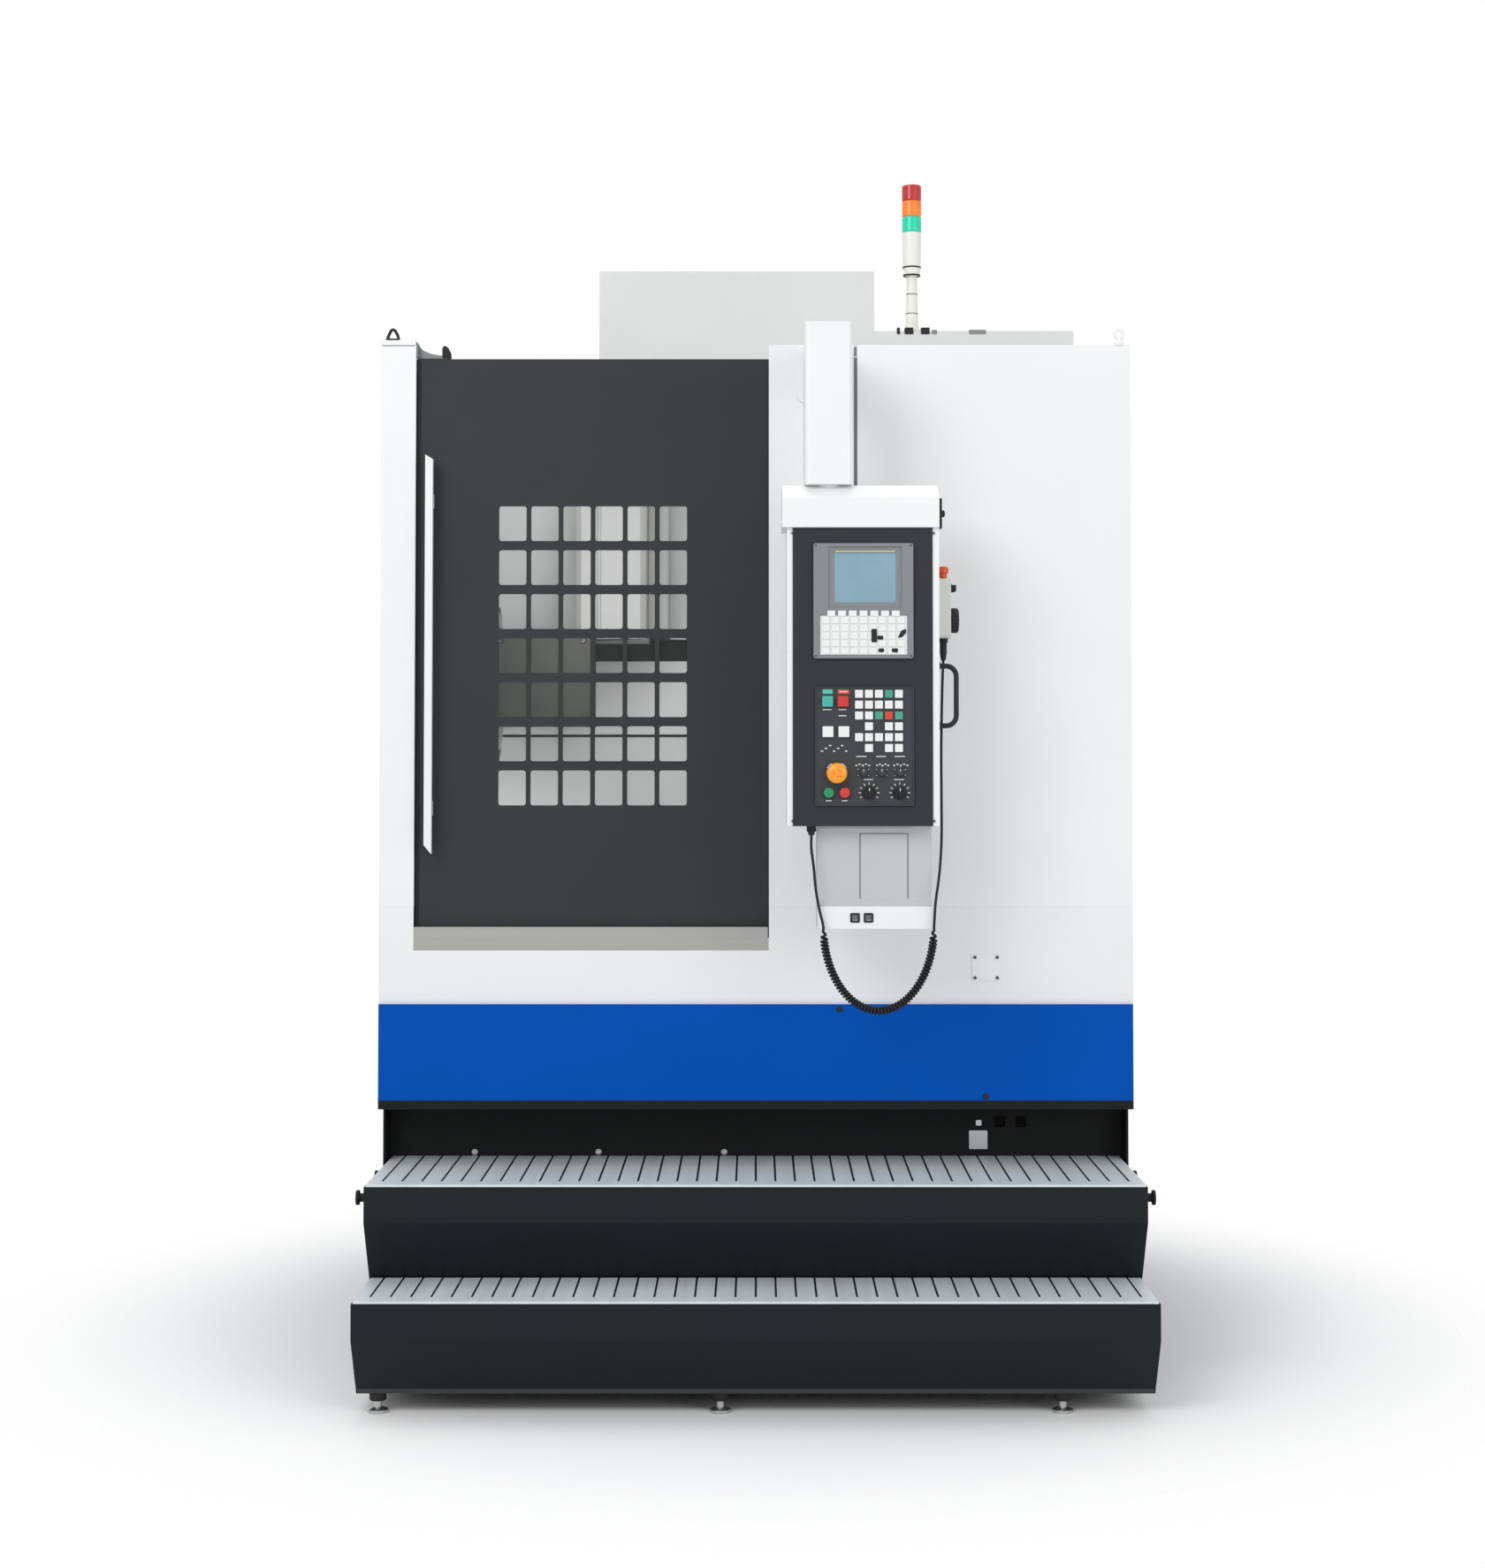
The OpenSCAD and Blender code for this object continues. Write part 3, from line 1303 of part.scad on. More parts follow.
// Curved grab handle on the pendant's right side
module grab_handle() {
    bend = 26;
    x0 = pendant_x1;
    x1 = pendant_x1 + grip_out - grip_d / 2;
    color("#141516") for (m = [0, 1]) translate([0, 0, grip_z0 + grip_h / 2]) mirror([0, 0, m]) {
        run = grip_h / 2 - grip_d / 2;
        translate([x0, grip_y, run]) rotate([0, 90, 0]) cylinder(d = grip_d, h = x1 - bend - x0);
        translate([x0, grip_y, run]) rotate([0, 90, 0]) cylinder(d = grip_d + 8, h = 4);
        translate([x1 - bend, grip_y, run - bend]) rotate([90, 0, 0]) rotate_extrude(angle = 90)
            translate([bend, 0]) circle(d = grip_d);
        translate([x1, grip_y, 0]) cylinder(d = grip_d, h = run - bend);
    }
}

// Hand pulse unit

module pulse_unit() {
    pin_hole = pulse_pin_d + 2 * run_gap;
    color("#D5D5D2") difference() {
        union() {
            along_x(pulse_x0, pulse_x1)
                round_rect([pulse_y - pulse_w / 2, pulse_z0], [pulse_y + pulse_w / 2, pulse_z1], 12);
            // Axis and step selector knobs
            for (y = [-18, 18]) translate([pulse_x1 - 1, pulse_y + y, pulse_z1 - 24]) rotate([0, 90, 0]) {
                cylinder(d = 22, h = 4);
                cylinder(d = 17, h = 15);
            }
        }
        translate([pulse_x1 - 16, pulse_y, wheel_z]) rotate([0, 90, 0]) cylinder(d = pin_hole, h = 20);
        translate([pulse_x0 + pulse_t / 2, pulse_y, pulse_z1 - 20])
            cylinder(d = pulse_pin_d + 2 * hole_gap, h = 30);
    }
}

module pulse_wheel() {
    r = wheel_d / 2;
    notches = 20;
    color("#2B2D2F") translate([pulse_x1 + slide_gap, pulse_y, wheel_z]) rotate([0, 90, 0]) {
        translate([0, 0, -14]) cylinder(d = pulse_pin_d, h = 16);
        difference() {
            rotate_extrude() polygon([[0, 0], [r - 3, 0], [r, 3], [r, wheel_t - 4], [r - 4, wheel_t],
                [r - 12, wheel_t], [r - 14, wheel_t - 3], [0, wheel_t - 3]]);
            for (i = [0 : notches - 1]) rotate(i * 360 / notches) translate([r + 1, 0, -1])
                cylinder(r = 2, h = wheel_t + 2);
            translate([r * 0.62, 0, wheel_t - 7]) cylinder(r = 6, h = 8);
        }
    }
}

module pulse_stop() {
    r = 14;
    back = pulse_z1 + press + slide_gap;
    color("#D2491F") translate([pulse_x0 + pulse_t / 2, pulse_y, 0]) {
        translate([0, 0, pulse_z1 - 14]) cylinder(d = pulse_pin_d, h = press + slide_gap + 15);
        translate([0, 0, back]) rotate_extrude()
            polygon([[0, 0], [r - 4, 0], [r - 4, 10], [r, 13], [r, 24], [r - 3, 28], [0, 30]]);
    }
}

// Strain reliefs where the cord leaves the pulse unit and enters the pendant
module cord_glands() {
    h0 = pulse_z0 - cord_route[0][2];
    h1 = pendant_low - cord_route[route_end][2];
    color("#151617") {
        translate(cord_route[0]) rotate_extrude()
            polygon([[0, 0], [6, 0], [9, 20], [9, h0 - 12], [12, h0 - 10], [12, h0], [0, h0]]);
        translate(cord_route[route_end]) rotate_extrude()
            polygon([[0, 0], [7, 0], [9, 8], [12, 10], [12, h1], [0, h1]]);
    }
}

module pulse_lead() {
    color("#2A2C2E") {
        cord_tube(0, curl_from, cord_d, 36, 10);
        cord_tube(curl_to, route_end, cord_d, 14, 10);
    }
}

module pulse_curl() {
    color("#2A2C2E") cord_tube(curl_from, curl_to, curl_d, 30, 12);
}

base_casting();
levelling_feet();
spindle_housing();
column();
chamber_liner();
way_wiper();
door_sill();
front_apron();
left_panel();
right_front_panel();
right_panel();
blue_band();
kick_plate();
roof_panel();
column_hood();
signal_pole();
lamp_green();
lamp_amber();
lamp_red();
step_frame();
step_treads();
door_rails();
cabinet();
pendant_post();
door_panel();
door_window();
door_handle();
spindle();
chuck();
jaw_1();
jaw_2();
jaw_3();
saddle();
way_covers();
ram();
turret_disc();
tool_holders();
cabinet_door();
main_switch();
pendant_box();
pendant_face();
display_unit();
screen();
key_caps();
operator_plate();
grab_handle();
pulse_unit();
cord_glands();
pulse_lead();
pulse_curl();
emergency_stop();
cycle_start();
feed_hold();
power_on();
power_off();
feed_knob();
speed_knob();
pulse_wheel();
pulse_stop();
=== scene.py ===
"""Looks of the vertical turning lathe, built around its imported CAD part."""
import json
import math

import bmesh
import bpy
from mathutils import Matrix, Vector


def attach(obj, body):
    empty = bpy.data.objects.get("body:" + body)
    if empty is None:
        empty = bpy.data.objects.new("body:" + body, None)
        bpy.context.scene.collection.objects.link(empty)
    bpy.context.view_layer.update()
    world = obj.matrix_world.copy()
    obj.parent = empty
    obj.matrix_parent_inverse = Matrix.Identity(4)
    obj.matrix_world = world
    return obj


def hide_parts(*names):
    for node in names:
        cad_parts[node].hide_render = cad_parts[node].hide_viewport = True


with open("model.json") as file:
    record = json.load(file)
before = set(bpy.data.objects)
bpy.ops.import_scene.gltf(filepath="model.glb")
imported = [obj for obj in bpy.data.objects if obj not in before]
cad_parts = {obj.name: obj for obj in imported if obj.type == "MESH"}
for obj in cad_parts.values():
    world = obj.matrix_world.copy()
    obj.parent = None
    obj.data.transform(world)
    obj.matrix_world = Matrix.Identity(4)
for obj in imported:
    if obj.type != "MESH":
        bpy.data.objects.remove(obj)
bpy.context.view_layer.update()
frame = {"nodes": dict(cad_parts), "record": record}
nodes = frame["nodes"]
scene = bpy.context.scene
MM = 0.001

# Camera at the photograph's place, its centre moved by the photograph's framing
PHOTO_H = 1774
FOCAL_PX = 2868
SHIFT_PX = (-15, -114.2)
CAMERA_AT = (0, -7.431, 1.590)
CAMERA_TILT = 92
camera_data = bpy.data.cameras.new("camera")
camera_data.sensor_width = 36
camera_data.lens = FOCAL_PX * camera_data.sensor_width / PHOTO_H
camera_data.shift_x = SHIFT_PX[0] / PHOTO_H
camera_data.shift_y = SHIFT_PX[1] / PHOTO_H
camera = bpy.data.objects.new("camera", camera_data)
camera.location = CAMERA_AT
camera.rotation_euler = (math.radians(CAMERA_TILT), 0, 0)
scene.collection.objects.link(camera)
scene.camera = camera
scene.view_settings.view_transform = "Standard"


# Materials

# Part of the noise's range that the looks use, and the height of the surface relief in metres
NOISE_LOW, NOISE_HIGH = 0.3, 0.7
RELIEF = 0.0006


def noise_of(tree, coord, scale, detail=3.0, stretch=(1, 1, 1)):
    """Noise in the part's own coordinates, in waves per metre."""
    mapping = tree.nodes.new("ShaderNodeMapping")
    mapping.inputs["Scale"].default_value = stretch
    noise = tree.nodes.new("ShaderNodeTexNoise")
    noise.inputs["Scale"].default_value = scale
    noise.inputs["Detail"].default_value = detail
    tree.links.new(coord.outputs["Object"], mapping.inputs["Vector"])
    tree.links.new(mapping.outputs["Vector"], noise.inputs["Vector"])
    return noise.outputs["Fac"]


def ranged(tree, value, low, high):
    """A noise value spread from low to high."""
    node = tree.nodes.new("ShaderNodeMapRange")
    node.inputs["From Min"].default_value = NOISE_LOW
    node.inputs["From Max"].default_value = NOISE_HIGH
    node.inputs["To Min"].default_value = low
    node.inputs["To Max"].default_value = high
    tree.links.new(value, node.inputs["Value"])
    return node.outputs["Result"]


def material(name, color, rough=0.45, metal=0.0, tint=0.04, tint_scale=4.0, grain=0.0, grain_scale=900.0,
             brush=None, rough_vary=0.015, **sockets):
    """Principled material with colour drift, uneven gloss and fine surface relief."""
    made = bpy.data.materials.new(name)
    made.use_nodes = True
    tree = made.node_tree
    shader = tree.nodes["Principled BSDF"]
    coord = tree.nodes.new("ShaderNodeTexCoord")
    stretch = brush or (1, 1, 1)
    mix = tree.nodes.new("ShaderNodeMix")
    mix.data_type = "RGBA"
    mix.inputs["A"].default_value = [c * (1 - tint) for c in color] + [1]
    mix.inputs["B"].default_value = [min(1, c * (1 + tint)) for c in color] + [1]
    drift = noise_of(tree, coord, tint_scale, 4.0, stretch)
    tree.links.new(ranged(tree, drift, 0, 1), mix.inputs["Factor"])
    tree.links.new(mix.outputs["Result"], shader.inputs["Base Color"])
    gloss = noise_of(tree, coord, tint_scale * 3, 2.0, stretch)
    uneven = ranged(tree, gloss, max(0, rough - rough_vary), rough + rough_vary)
    tree.links.new(uneven, shader.inputs["Roughness"])
    shader.inputs["Metallic"].default_value = metal
    if grain:
        bump = tree.nodes.new("ShaderNodeBump")
        bump.inputs["Strength"].default_value = grain
        bump.inputs["Distance"].default_value = RELIEF
        tree.links.new(noise_of(tree, coord, grain_scale, 2.0, stretch), bump.inputs["Height"])
        tree.links.new(bump.outputs["Normal"], shader.inputs["Normal"])
    for socket, value in sockets.items():
        shader.inputs[socket.replace("_", " ")].default_value = value
    return made


# Stretch of the noise on metal brushed along an axis
ALONG_X = (0.02, 1, 1)
ALONG_Y = (1, 0.02, 1)
M = {
    "white_paint": material("white_paint", (0.83, 0.835, 0.835), 0.38, tint=0.012, grain=0.10,
                            grain_scale=420, Specular_IOR_Level=0.35),
    "grey_paint": material("grey_paint", (0.66, 0.665, 0.66), 0.42, tint=0.02, grain=0.10, grain_scale=420),
    "charcoal_paint": material("charcoal_paint", (0.030, 0.0325, 0.0355), 0.5, tint=0.05, grain=0.12,
                               grain_scale=520, Specular_IOR_Level=0.2),
    "blue_paint": material("blue_paint", (0.0002, 0.078, 0.415), 0.45, tint=0.025, grain=0.10,
                           grain_scale=420, Specular_IOR_Level=0.05),
    "black_paint": material("black_paint", (0.0075, 0.008, 0.0088), 0.55, tint=0.04, grain=0.35,
                            grain_scale=900, Specular_IOR_Level=0.15),
    "step_paint": material("step_paint", (0.0080, 0.0125, 0.0140), 0.5, tint=0.08, grain=0.35,
                           grain_scale=900, Specular_IOR_Level=0.16),
    "tread_metal": material("tread_metal", (0.64, 0.695, 0.715), 0.5, 0.1, tint=0.05, tint_scale=24,
                            grain=0.25, grain_scale=500, brush=ALONG_Y, rough_vary=0.06),
    "wiper_black": material("wiper_black", (0.004, 0.004, 0.0042), 0.8, tint=0.1, Specular_IOR_Level=0.1),
    # Near black of painted shade in the treads' grooves
    "groove_painted_shade": material("groove_painted_shade", (0.018, 0.02, 0.021), 0.6, tint=0.1),
    "apron_white": material("apron_white", (0.815, 0.82, 0.82), 0.38, tint=0.012, grain=0.10, grain_scale=420,
                            Specular_IOR_Level=0.35),
    # Grey of painted shade that the pendant casts over its knee
    "knee_painted_shade": material("knee_painted_shade", (0.535, 0.542, 0.548), 0.42, tint=0.02, grain=0.10, grain_scale=420,
                          Specular_IOR_Level=0.3),
    "cover_grey": material("cover_grey", (0.68, 0.685, 0.685), 0.42, tint=0.02, grain=0.08, grain_scale=420),
    # Dark olive of the turret housing: partly its own colour, partly painted shade
    "housing_olive_and_shade": material("housing_olive_and_shade", (0.046, 0.048, 0.040), 0.5, tint=0.06, grain=0.4,
                              grain_scale=260, Specular_IOR_Level=0.3),
    "casting_paint": material("casting_paint", (0.16, 0.175, 0.185), 0.55, tint=0.08, grain=0.6,
                              grain_scale=260),
    "machine_grey": material("machine_grey", (0.44, 0.445, 0.43), 0.42, tint=0.03, grain=0.2,
                             grain_scale=300),
    "bright_steel": material("bright_steel", (0.52, 0.525, 0.53), 0.33, 0.95, tint=0.03, tint_scale=12,
                             grain=0.02, grain_scale=1600, rough_vary=0.05),
    "dark_steel": material("dark_steel", (0.10, 0.10, 0.098), 0.40, 0.8, tint=0.06, tint_scale=20, grain=0.04,
                           grain_scale=1600),
    "stainless": material("stainless", (0.37, 0.372, 0.352), 0.42, 0.5, tint=0.04, tint_scale=60, grain=0.15,
                          grain_scale=900, brush=ALONG_X, rough_vary=0.05),
    "window": material("window", (0.82, 0.86, 0.86), 0.06, tint=0.02, rough_vary=0.03, Alpha=0.02),
    "black_rubber": material("black_rubber", (0.0105, 0.0105, 0.011), 0.6, tint=0.12, grain=0.3,
                             Specular_IOR_Level=0.3),
    "black_plastic": material("black_plastic", (0.010, 0.0105, 0.0115), 0.45, tint=0.08, grain=0.3,
                              grain_scale=1500, Specular_IOR_Level=0.3),
    "cream_plastic": material("cream_plastic", (0.80, 0.785, 0.72), 0.42, tint=0.02, grain=0.1),
    "green_lens": material("green_lens", (0.004, 0.56, 0.34), 0.22, tint=0.06, tint_scale=22,
                           Emission_Color=(0.004, 0.6, 0.38, 1), Emission_Strength=0.15),
    "amber_lens": material("amber_lens", (0.86, 0.21, 0.012), 0.22, tint=0.14, tint_scale=22,
                           Emission_Color=(0.9, 0.18, 0.01, 1), Emission_Strength=0.15),
    "red_lens": material("red_lens", (0.44, 0.018, 0.018), 0.22, tint=0.08,
                         Emission_Color=(0.6, 0.03, 0.02, 1), Emission_Strength=0.12),
    "panel_grey": material("panel_grey", (0.215, 0.228, 0.236), 0.46, tint=0.03, grain=0.25, grain_scale=1400,
                           Specular_IOR_Level=0.35),
    "panel_dark": material("panel_dark", (0.026, 0.0285, 0.033), 0.5, tint=0.05, grain=0.2, grain_scale=700,
                           Specular_IOR_Level=0.2),
    # Lighter copy of the step paint: painted light on the step's hem
    "plate_dark": material("plate_dark", (0.047, 0.051, 0.055), 0.55, tint=0.04, grain=0.2, grain_scale=1200,
                           Specular_IOR_Level=0.2),
    "screen_glass": material("screen_glass", (0.205, 0.345, 0.42), 0.16, tint=0.08, tint_scale=9,
                             Emission_Color=(0.20, 0.36, 0.45, 1), Emission_Strength=0.06),
    "key_plastic": material("key_plastic", (0.80, 0.81, 0.80), 0.5, tint=0.02, grain=0.2, grain_scale=2000),
    "stop_orange": material("stop_orange", (0.90, 0.32, 0.016), 0.3, tint=0.04),
    "stop_red": material("stop_red", (0.62, 0.075, 0.012), 0.3, tint=0.05),
    "button_green": material("button_green", (0.012, 0.24, 0.10), 0.3, tint=0.05),
    "button_red": material("button_red", (0.60, 0.03, 0.022), 0.3, tint=0.05),
    "button_teal": material("button_teal", (0.05, 0.42, 0.33), 0.3, tint=0.05),
    "pulse_grey": material("pulse_grey", (0.64, 0.64, 0.62), 0.46, tint=0.02, grain=0.25, grain_scale=1400),
    "print_white": material("print_white", (0.78, 0.79, 0.79), 0.6, tint=0.02),
    "print_teal": material("print_teal", (0.10, 0.50, 0.42), 0.6, tint=0.04),
    "print_red": material("print_red", (0.66, 0.08, 0.06), 0.6, tint=0.04),
    "screen_reflection_cream": material("screen_reflection_cream", (0.66, 0.56, 0.28), 0.5, tint=0.03),
    "mat_white": material("mat_white", (0.70, 0.705, 0.695), 0.55, tint=0.02, grain=0.2, grain_scale=2000),
    "key_green": material("key_green", (0.05, 0.33, 0.22), 0.5, tint=0.03, grain=0.2, grain_scale=2000),
    "key_red": material("key_red", (0.62, 0.05, 0.035), 0.5, tint=0.03, grain=0.2, grain_scale=2000),
    "carbide_gold": material("carbide_gold", (0.70, 0.50, 0.16), 0.3, 1.0, tint=0.06, tint_scale=60),
    "lamp_white": material("lamp_white", (0.86, 0.87, 0.88), 0.3, tint=0.01, Emission_Color=(1, 1, 1, 1),
                           Emission_Strength=1.2),
    "stop_mark": material("stop_mark", (0.74, 0.16, 0.012), 0.35, tint=0.05),
}

# Edge rounding of the CAD nodes, in millimetres
EDGE = {
    "base_casting": 5, "column": 4, "saddle": 3, "ram": 3, "spindle_housing": 2, "spindle": 1.5, "chuck": 1.5,
    "turret_disc": 2, "tool_holders": 1.2, "key_caps": 0.7, "operator_plate": 0.5, "display_unit": 0.8,
    "pendant_post": 1.5, "pendant_box": 1.6, "pulse_unit": 1.5, "step_frame": 1.2, "step_treads": 0.8,
    "door_handle": 1.5, "door_panel": 0.9, "blue_band": 0.9, "kick_plate": 1.2, "cabinet": 0.15,
    "cabinet_door": 0.15,
}
OTHER_EDGE = 0.6
NO_BEVEL = {"pulse_lead", "pulse_curl", "screen", "door_window"}
# Reach of the weld in metres, and the angles in degrees at which a CAD edge is flat or rounded
WELD_REACH = 0.00002
FLAT_ANGLE = 0.5
EDGE_ANGLE = 32
# Angles at which an edge of an added piece is rounded or shaded sharp, and the steps of a rounding
SHARP_ANGLE = 38
SHADE_ANGLE = 50
SEGMENTS = 2


def soften(piece, width):
    """Welded, lightly rounded edges on a CAD node, with even shading on its flats."""
    weld = piece.modifiers.new("weld", "WELD")
    weld.merge_threshold = WELD_REACH
    flat = piece.modifiers.new("flats", "DECIMATE")
    flat.decimate_type = "DISSOLVE"
    flat.angle_limit = math.radians(FLAT_ANGLE)
    flat.delimit = {"MATERIAL"}
    bevel = piece.modifiers.new("edges", "BEVEL")
    bevel.width = width * MM
    bevel.segments = SEGMENTS
    bevel.limit_method = "ANGLE"
    bevel.angle_limit = math.radians(EDGE_ANGLE)
    even = piece.modifiers.new("even", "WEIGHTED_NORMAL")
    even.keep_sharp = True


for part in frame["record"]["subparts"]:
    piece = nodes[part["node"]]
    piece.data.materials.clear()
    piece.data.materials.append(M[part["material_slot"]])
    if part["node"] not in NO_BEVEL:
        soften(piece, EDGE.get(part["node"], OTHER_EDGE))


def paint(node, look, chosen):
    """Another material on the polygons of a CAD node whose place and normal are chosen."""
    piece = nodes[node]
    mesh = piece.data
    mesh.materials.append(M[look])
    index = len(mesh.materials) - 1
    place = piece.matrix_world
    turn = place.to_3x3()
    for polygon in mesh.polygons:
        if chosen(place @ polygon.center / MM, turn @ polygon.normal):
            polygon.material_index = index


# Function keys: middle of the first, step to the next column and row, and reach round a middle
KEY_X, KEY_Z = 259, 1785
KEY_STEP_X, KEY_STEP_Z = 25, 27.2
KEY_REACH = 12
# Tops of the two treads, how near counts as level with one, and when a normal faces along an axis
TREADS = (296, 548)
LEVEL = 0.6
FACING = 0.7
# Limits of the turret housing on the ram, of the knee box and its lip, and of the pulse unit's dark side
HOUSING_Z1, HOUSING_Y1 = 1986, 60
KNEE_Z1, KNEE_X0, LIP_FRONT = 1452, 150, -1029
PULSE_DARK_X = 497.6


def on_key(cells):
    """Picks the function keys of these rows and columns."""
    middles = [(KEY_X + KEY_STEP_X * col, KEY_Z - KEY_STEP_Z * row) for row, col in cells]
    return lambda c, n: any(abs(c.x - x) < KEY_REACH and abs(c.z - z) < KEY_REACH for x, z in middles)


def in_groove(c, n):
    """Picks the sides and floors of the treads' grooves, which get painted shade."""
    return abs(n.x) > FACING or n.z > FACING and all(abs(c.z - top) > LEVEL for top in TREADS)


def on_knee(c, n):
    """Picks the knee box apart from the white front of its lip, for the grey of painted shade under the
    pendant.
    """
    return c.z < KNEE_Z1 and c.x > KNEE_X0 and not (n.y < -FACING and c.y < LIP_FRONT)


# Lower front of the ram painted dark olive, partly the housing's colour and partly painted shade
paint("ram", "housing_olive_and_shade", lambda c, n: c.z < HOUSING_Z1 and c.y < HOUSING_Y1)
paint("key_caps", "key_green", on_key([(0, 3), (2, 2), (2, 4)]))
paint("key_caps", "key_red", on_key([(2, 3)]))
paint("step_treads", "groove_painted_shade", in_groove)
# Knee under the pendant painted grey as painted shade
paint("pendant_box", "knee_painted_shade", on_knee)
paint("pulse_unit", "black_plastic", lambda c, n: c.x > PULSE_DARK_X)
nodes["front_apron"].data.materials[0] = M["apron_white"]
nodes["way_covers"].data.materials[0] = M["cover_grey"]
nodes["way_wiper"].data.materials[0] = M["wiper_black"]


# Shapes in millimetres

def rrect(u0, v0, u1, v1, r, steps=5):
    """Rectangle outline with round corners."""
    corners = [(u1 - r, v0 + r, -90), (u1 - r, v1 - r, 0), (u0 + r, v1 - r, 90), (u0 + r, v0 + r, 180)]
    places = [(cu, cv, math.radians(a + 90 * k / steps)) for cu, cv, a in corners for k in range(steps + 1)]
    return [(cu + r * math.cos(t), cv + r * math.sin(t)) for cu, cv, t in places]


def arc_band(cu, cv, r0, r1, a0, a1, steps=8):
    """Outline of a ring sector between two angles."""
    turns = [math.radians(a0 + (a1 - a0) * k / steps) for k in range(steps + 1)]
    return ([(cu + r1 * math.cos(t), cv + r1 * math.sin(t)) for t in turns]
            + [(cu + r0 * math.cos(t), cv + r0 * math.sin(t)) for t in reversed(turns)])


def spread(a, b, count):
    """Evenly spaced values from a to b."""
    return [a + (b - a) * k / (count - 1) for k in range(count)]


# Place of an outline's two coordinates and its height along each axis
PUT = {"x": lambda u, v, a: (a, u, v), "y": lambda u, v, a: (u, a, v), "z": lambda u, v, a: (u, v, a)}


class Shape:
    """Forms gathered into one mesh piece."""

    def __init__(self):
        self.bm = bmesh.new()

    def loop(self, points):
        """Corners at these points."""
        return [self.bm.verts.new(p) for p in points]

    def skin(self, a, b):
        """Faces between two loops of points, or a loop and a single point."""
        for k in range(max(len(a), len(b))):
            m = (k + 1) % max(len(a), len(b))
            if len(a) == 1:
                self.bm.faces.new((a[0], b[m], b[k]))
            elif len(b) == 1:
                self.bm.faces.new((a[k], a[m], b[0]))
            else:
                self.bm.faces.new((a[k], a[m], b[m], b[k]))

    def prism(self, outline, a0, a1, axis="y"):
        """Outline drawn out along an axis, closed at both ends."""
        ends = [self.loop([PUT[axis](u, v, a) for u, v in outline]) for a in (a0, a1)]
        self.skin(*ends)
        for end in ends:
            self.bm.faces.new(end)
        return self

    def turned(self, profile, at, along=(0, 0, 1), sides=32, ring=False):
        """Radius and height profile turned about an axis; a ring's profile closes on itself."""
        turn = Vector(along).to_track_quat("Z", "Y")
        loops = []
        for r, h in profile:
            angles = [2 * math.pi * k / sides for k in range(sides)] if r else [0]
            loops.append(self.loop([Vector(at) + turn @ Vector((r * math.cos(a), r * math.sin(a), h))
                                    for a in angles]))
        for a, b in zip(loops, loops[1:] + loops[:1] if ring else loops[1:]):
            self.skin(a, b)
        if not ring:
            for end in (loops[0], loops[-1]):
                if len(end) > 1:
                    self.bm.faces.new(end)
        return self

    def tube(self, points, r, sides=12, closed=False):
        """Round bar along a path that lies in one plane or bends gently."""
        path = [Vector(p) for p in points]
        count = len(path)
        loops = []
        side = None
        for k, p in enumerate(path):
            before = path[(k - 1) % count] if closed or k else p
            after = path[(k + 1) % count] if closed or k < count - 1 else p
            ahead = (after - before).normalized()
            side = side - ahead * side.dot(ahead) if side else ahead.orthogonal()
            side.normalize()
            up = ahead.cross(side)
            angles = [2 * math.pi * j / sides for j in range(sides)]
            loops.append(self.loop([p + r * (side * math.cos(a) + up * math.sin(a)) for a in angles]))
        for a, b in zip(loops, loops[1:] + loops[:1] if closed else loops[1:]):
            self.skin(a, b)
        if not closed:
            self.bm.faces.new(loops[0])
            self.bm.faces.new(loops[-1])
        return self

    def screw(self, at, along, d):
        """Button head screw with a socket, its seat at the point."""
        h = d * 0.42
        return self.turned([(0, h * 0.45), (d * 0.24, h * 0.45), (d * 0.24, h * 0.95), (d * 0.34, h),
                            (d * 0.45, h * 0.75), (d * 0.5, h * 0.3), (d * 0.5, -0.3)], at, along, 20)

    def hex_bolt(self, at, along, d, h):
        """Hexagon head on a round washer."""
        self.turned([(0, 1.2), (d * 0.62, 1.2), (d * 0.66, 0.6), (d * 0.66, -0.3), (0, -0.3)], at, along, 24)
        return self.turned([(0, h), (d * 0.42, h), (d * 0.54, h * 0.86), (d * 0.54, 1), (0, 1)], at, along, 6)

    def piece(self, name, body, slot, look=None, bevel=0.5):
        """The finished object, in metres, riding on a body."""
        bm = self.bm
        bmesh.ops.recalc_face_normals(bm, faces=bm.faces)
        if bevel:
            limit = math.radians(SHARP_ANGLE)
            sharp = [e for e in bm.edges if len(e.link_faces) == 2 and e.calc_face_angle(0) > limit]
            bmesh.ops.bevel(bm, geom=sharp, offset=bevel, segments=SEGMENTS, affect="EDGES",
                            clamp_overlap=True)
        bmesh.ops.scale(bm, vec=(MM, MM, MM), verts=bm.verts)
        mesh = bpy.data.meshes.new(name)
        bm.to_mesh(mesh)
        bm.free()
        mesh.shade_smooth()
        mesh.set_sharp_from_angle(angle=math.radians(SHADE_ANGLE))
        made = bpy.data.objects.new(name, mesh)
        scene.collection.objects.link(made)
        made.modifiers.new("even", "WEIGHTED_NORMAL").keep_sharp = True
        mesh.materials.append(M[look or slot])
        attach(made, body)
        return made


# Pulse unit's cord: plain lead, curly stretch, plain tail

CORD_D = 7
COIL_R = 7.5
COIL_PITCH = 8.6
TURN_STEPS = 14
# Stretch in which the coil opens and closes, and its slower turning there
COIL_EASE = 40
SLOW_TURN = 0.35
# Points on the lead and the tail, and steps in which the curl's run is measured
LEAD_POINTS = 28
TAIL_POINTS = 16
FINE_STEPS = 4000
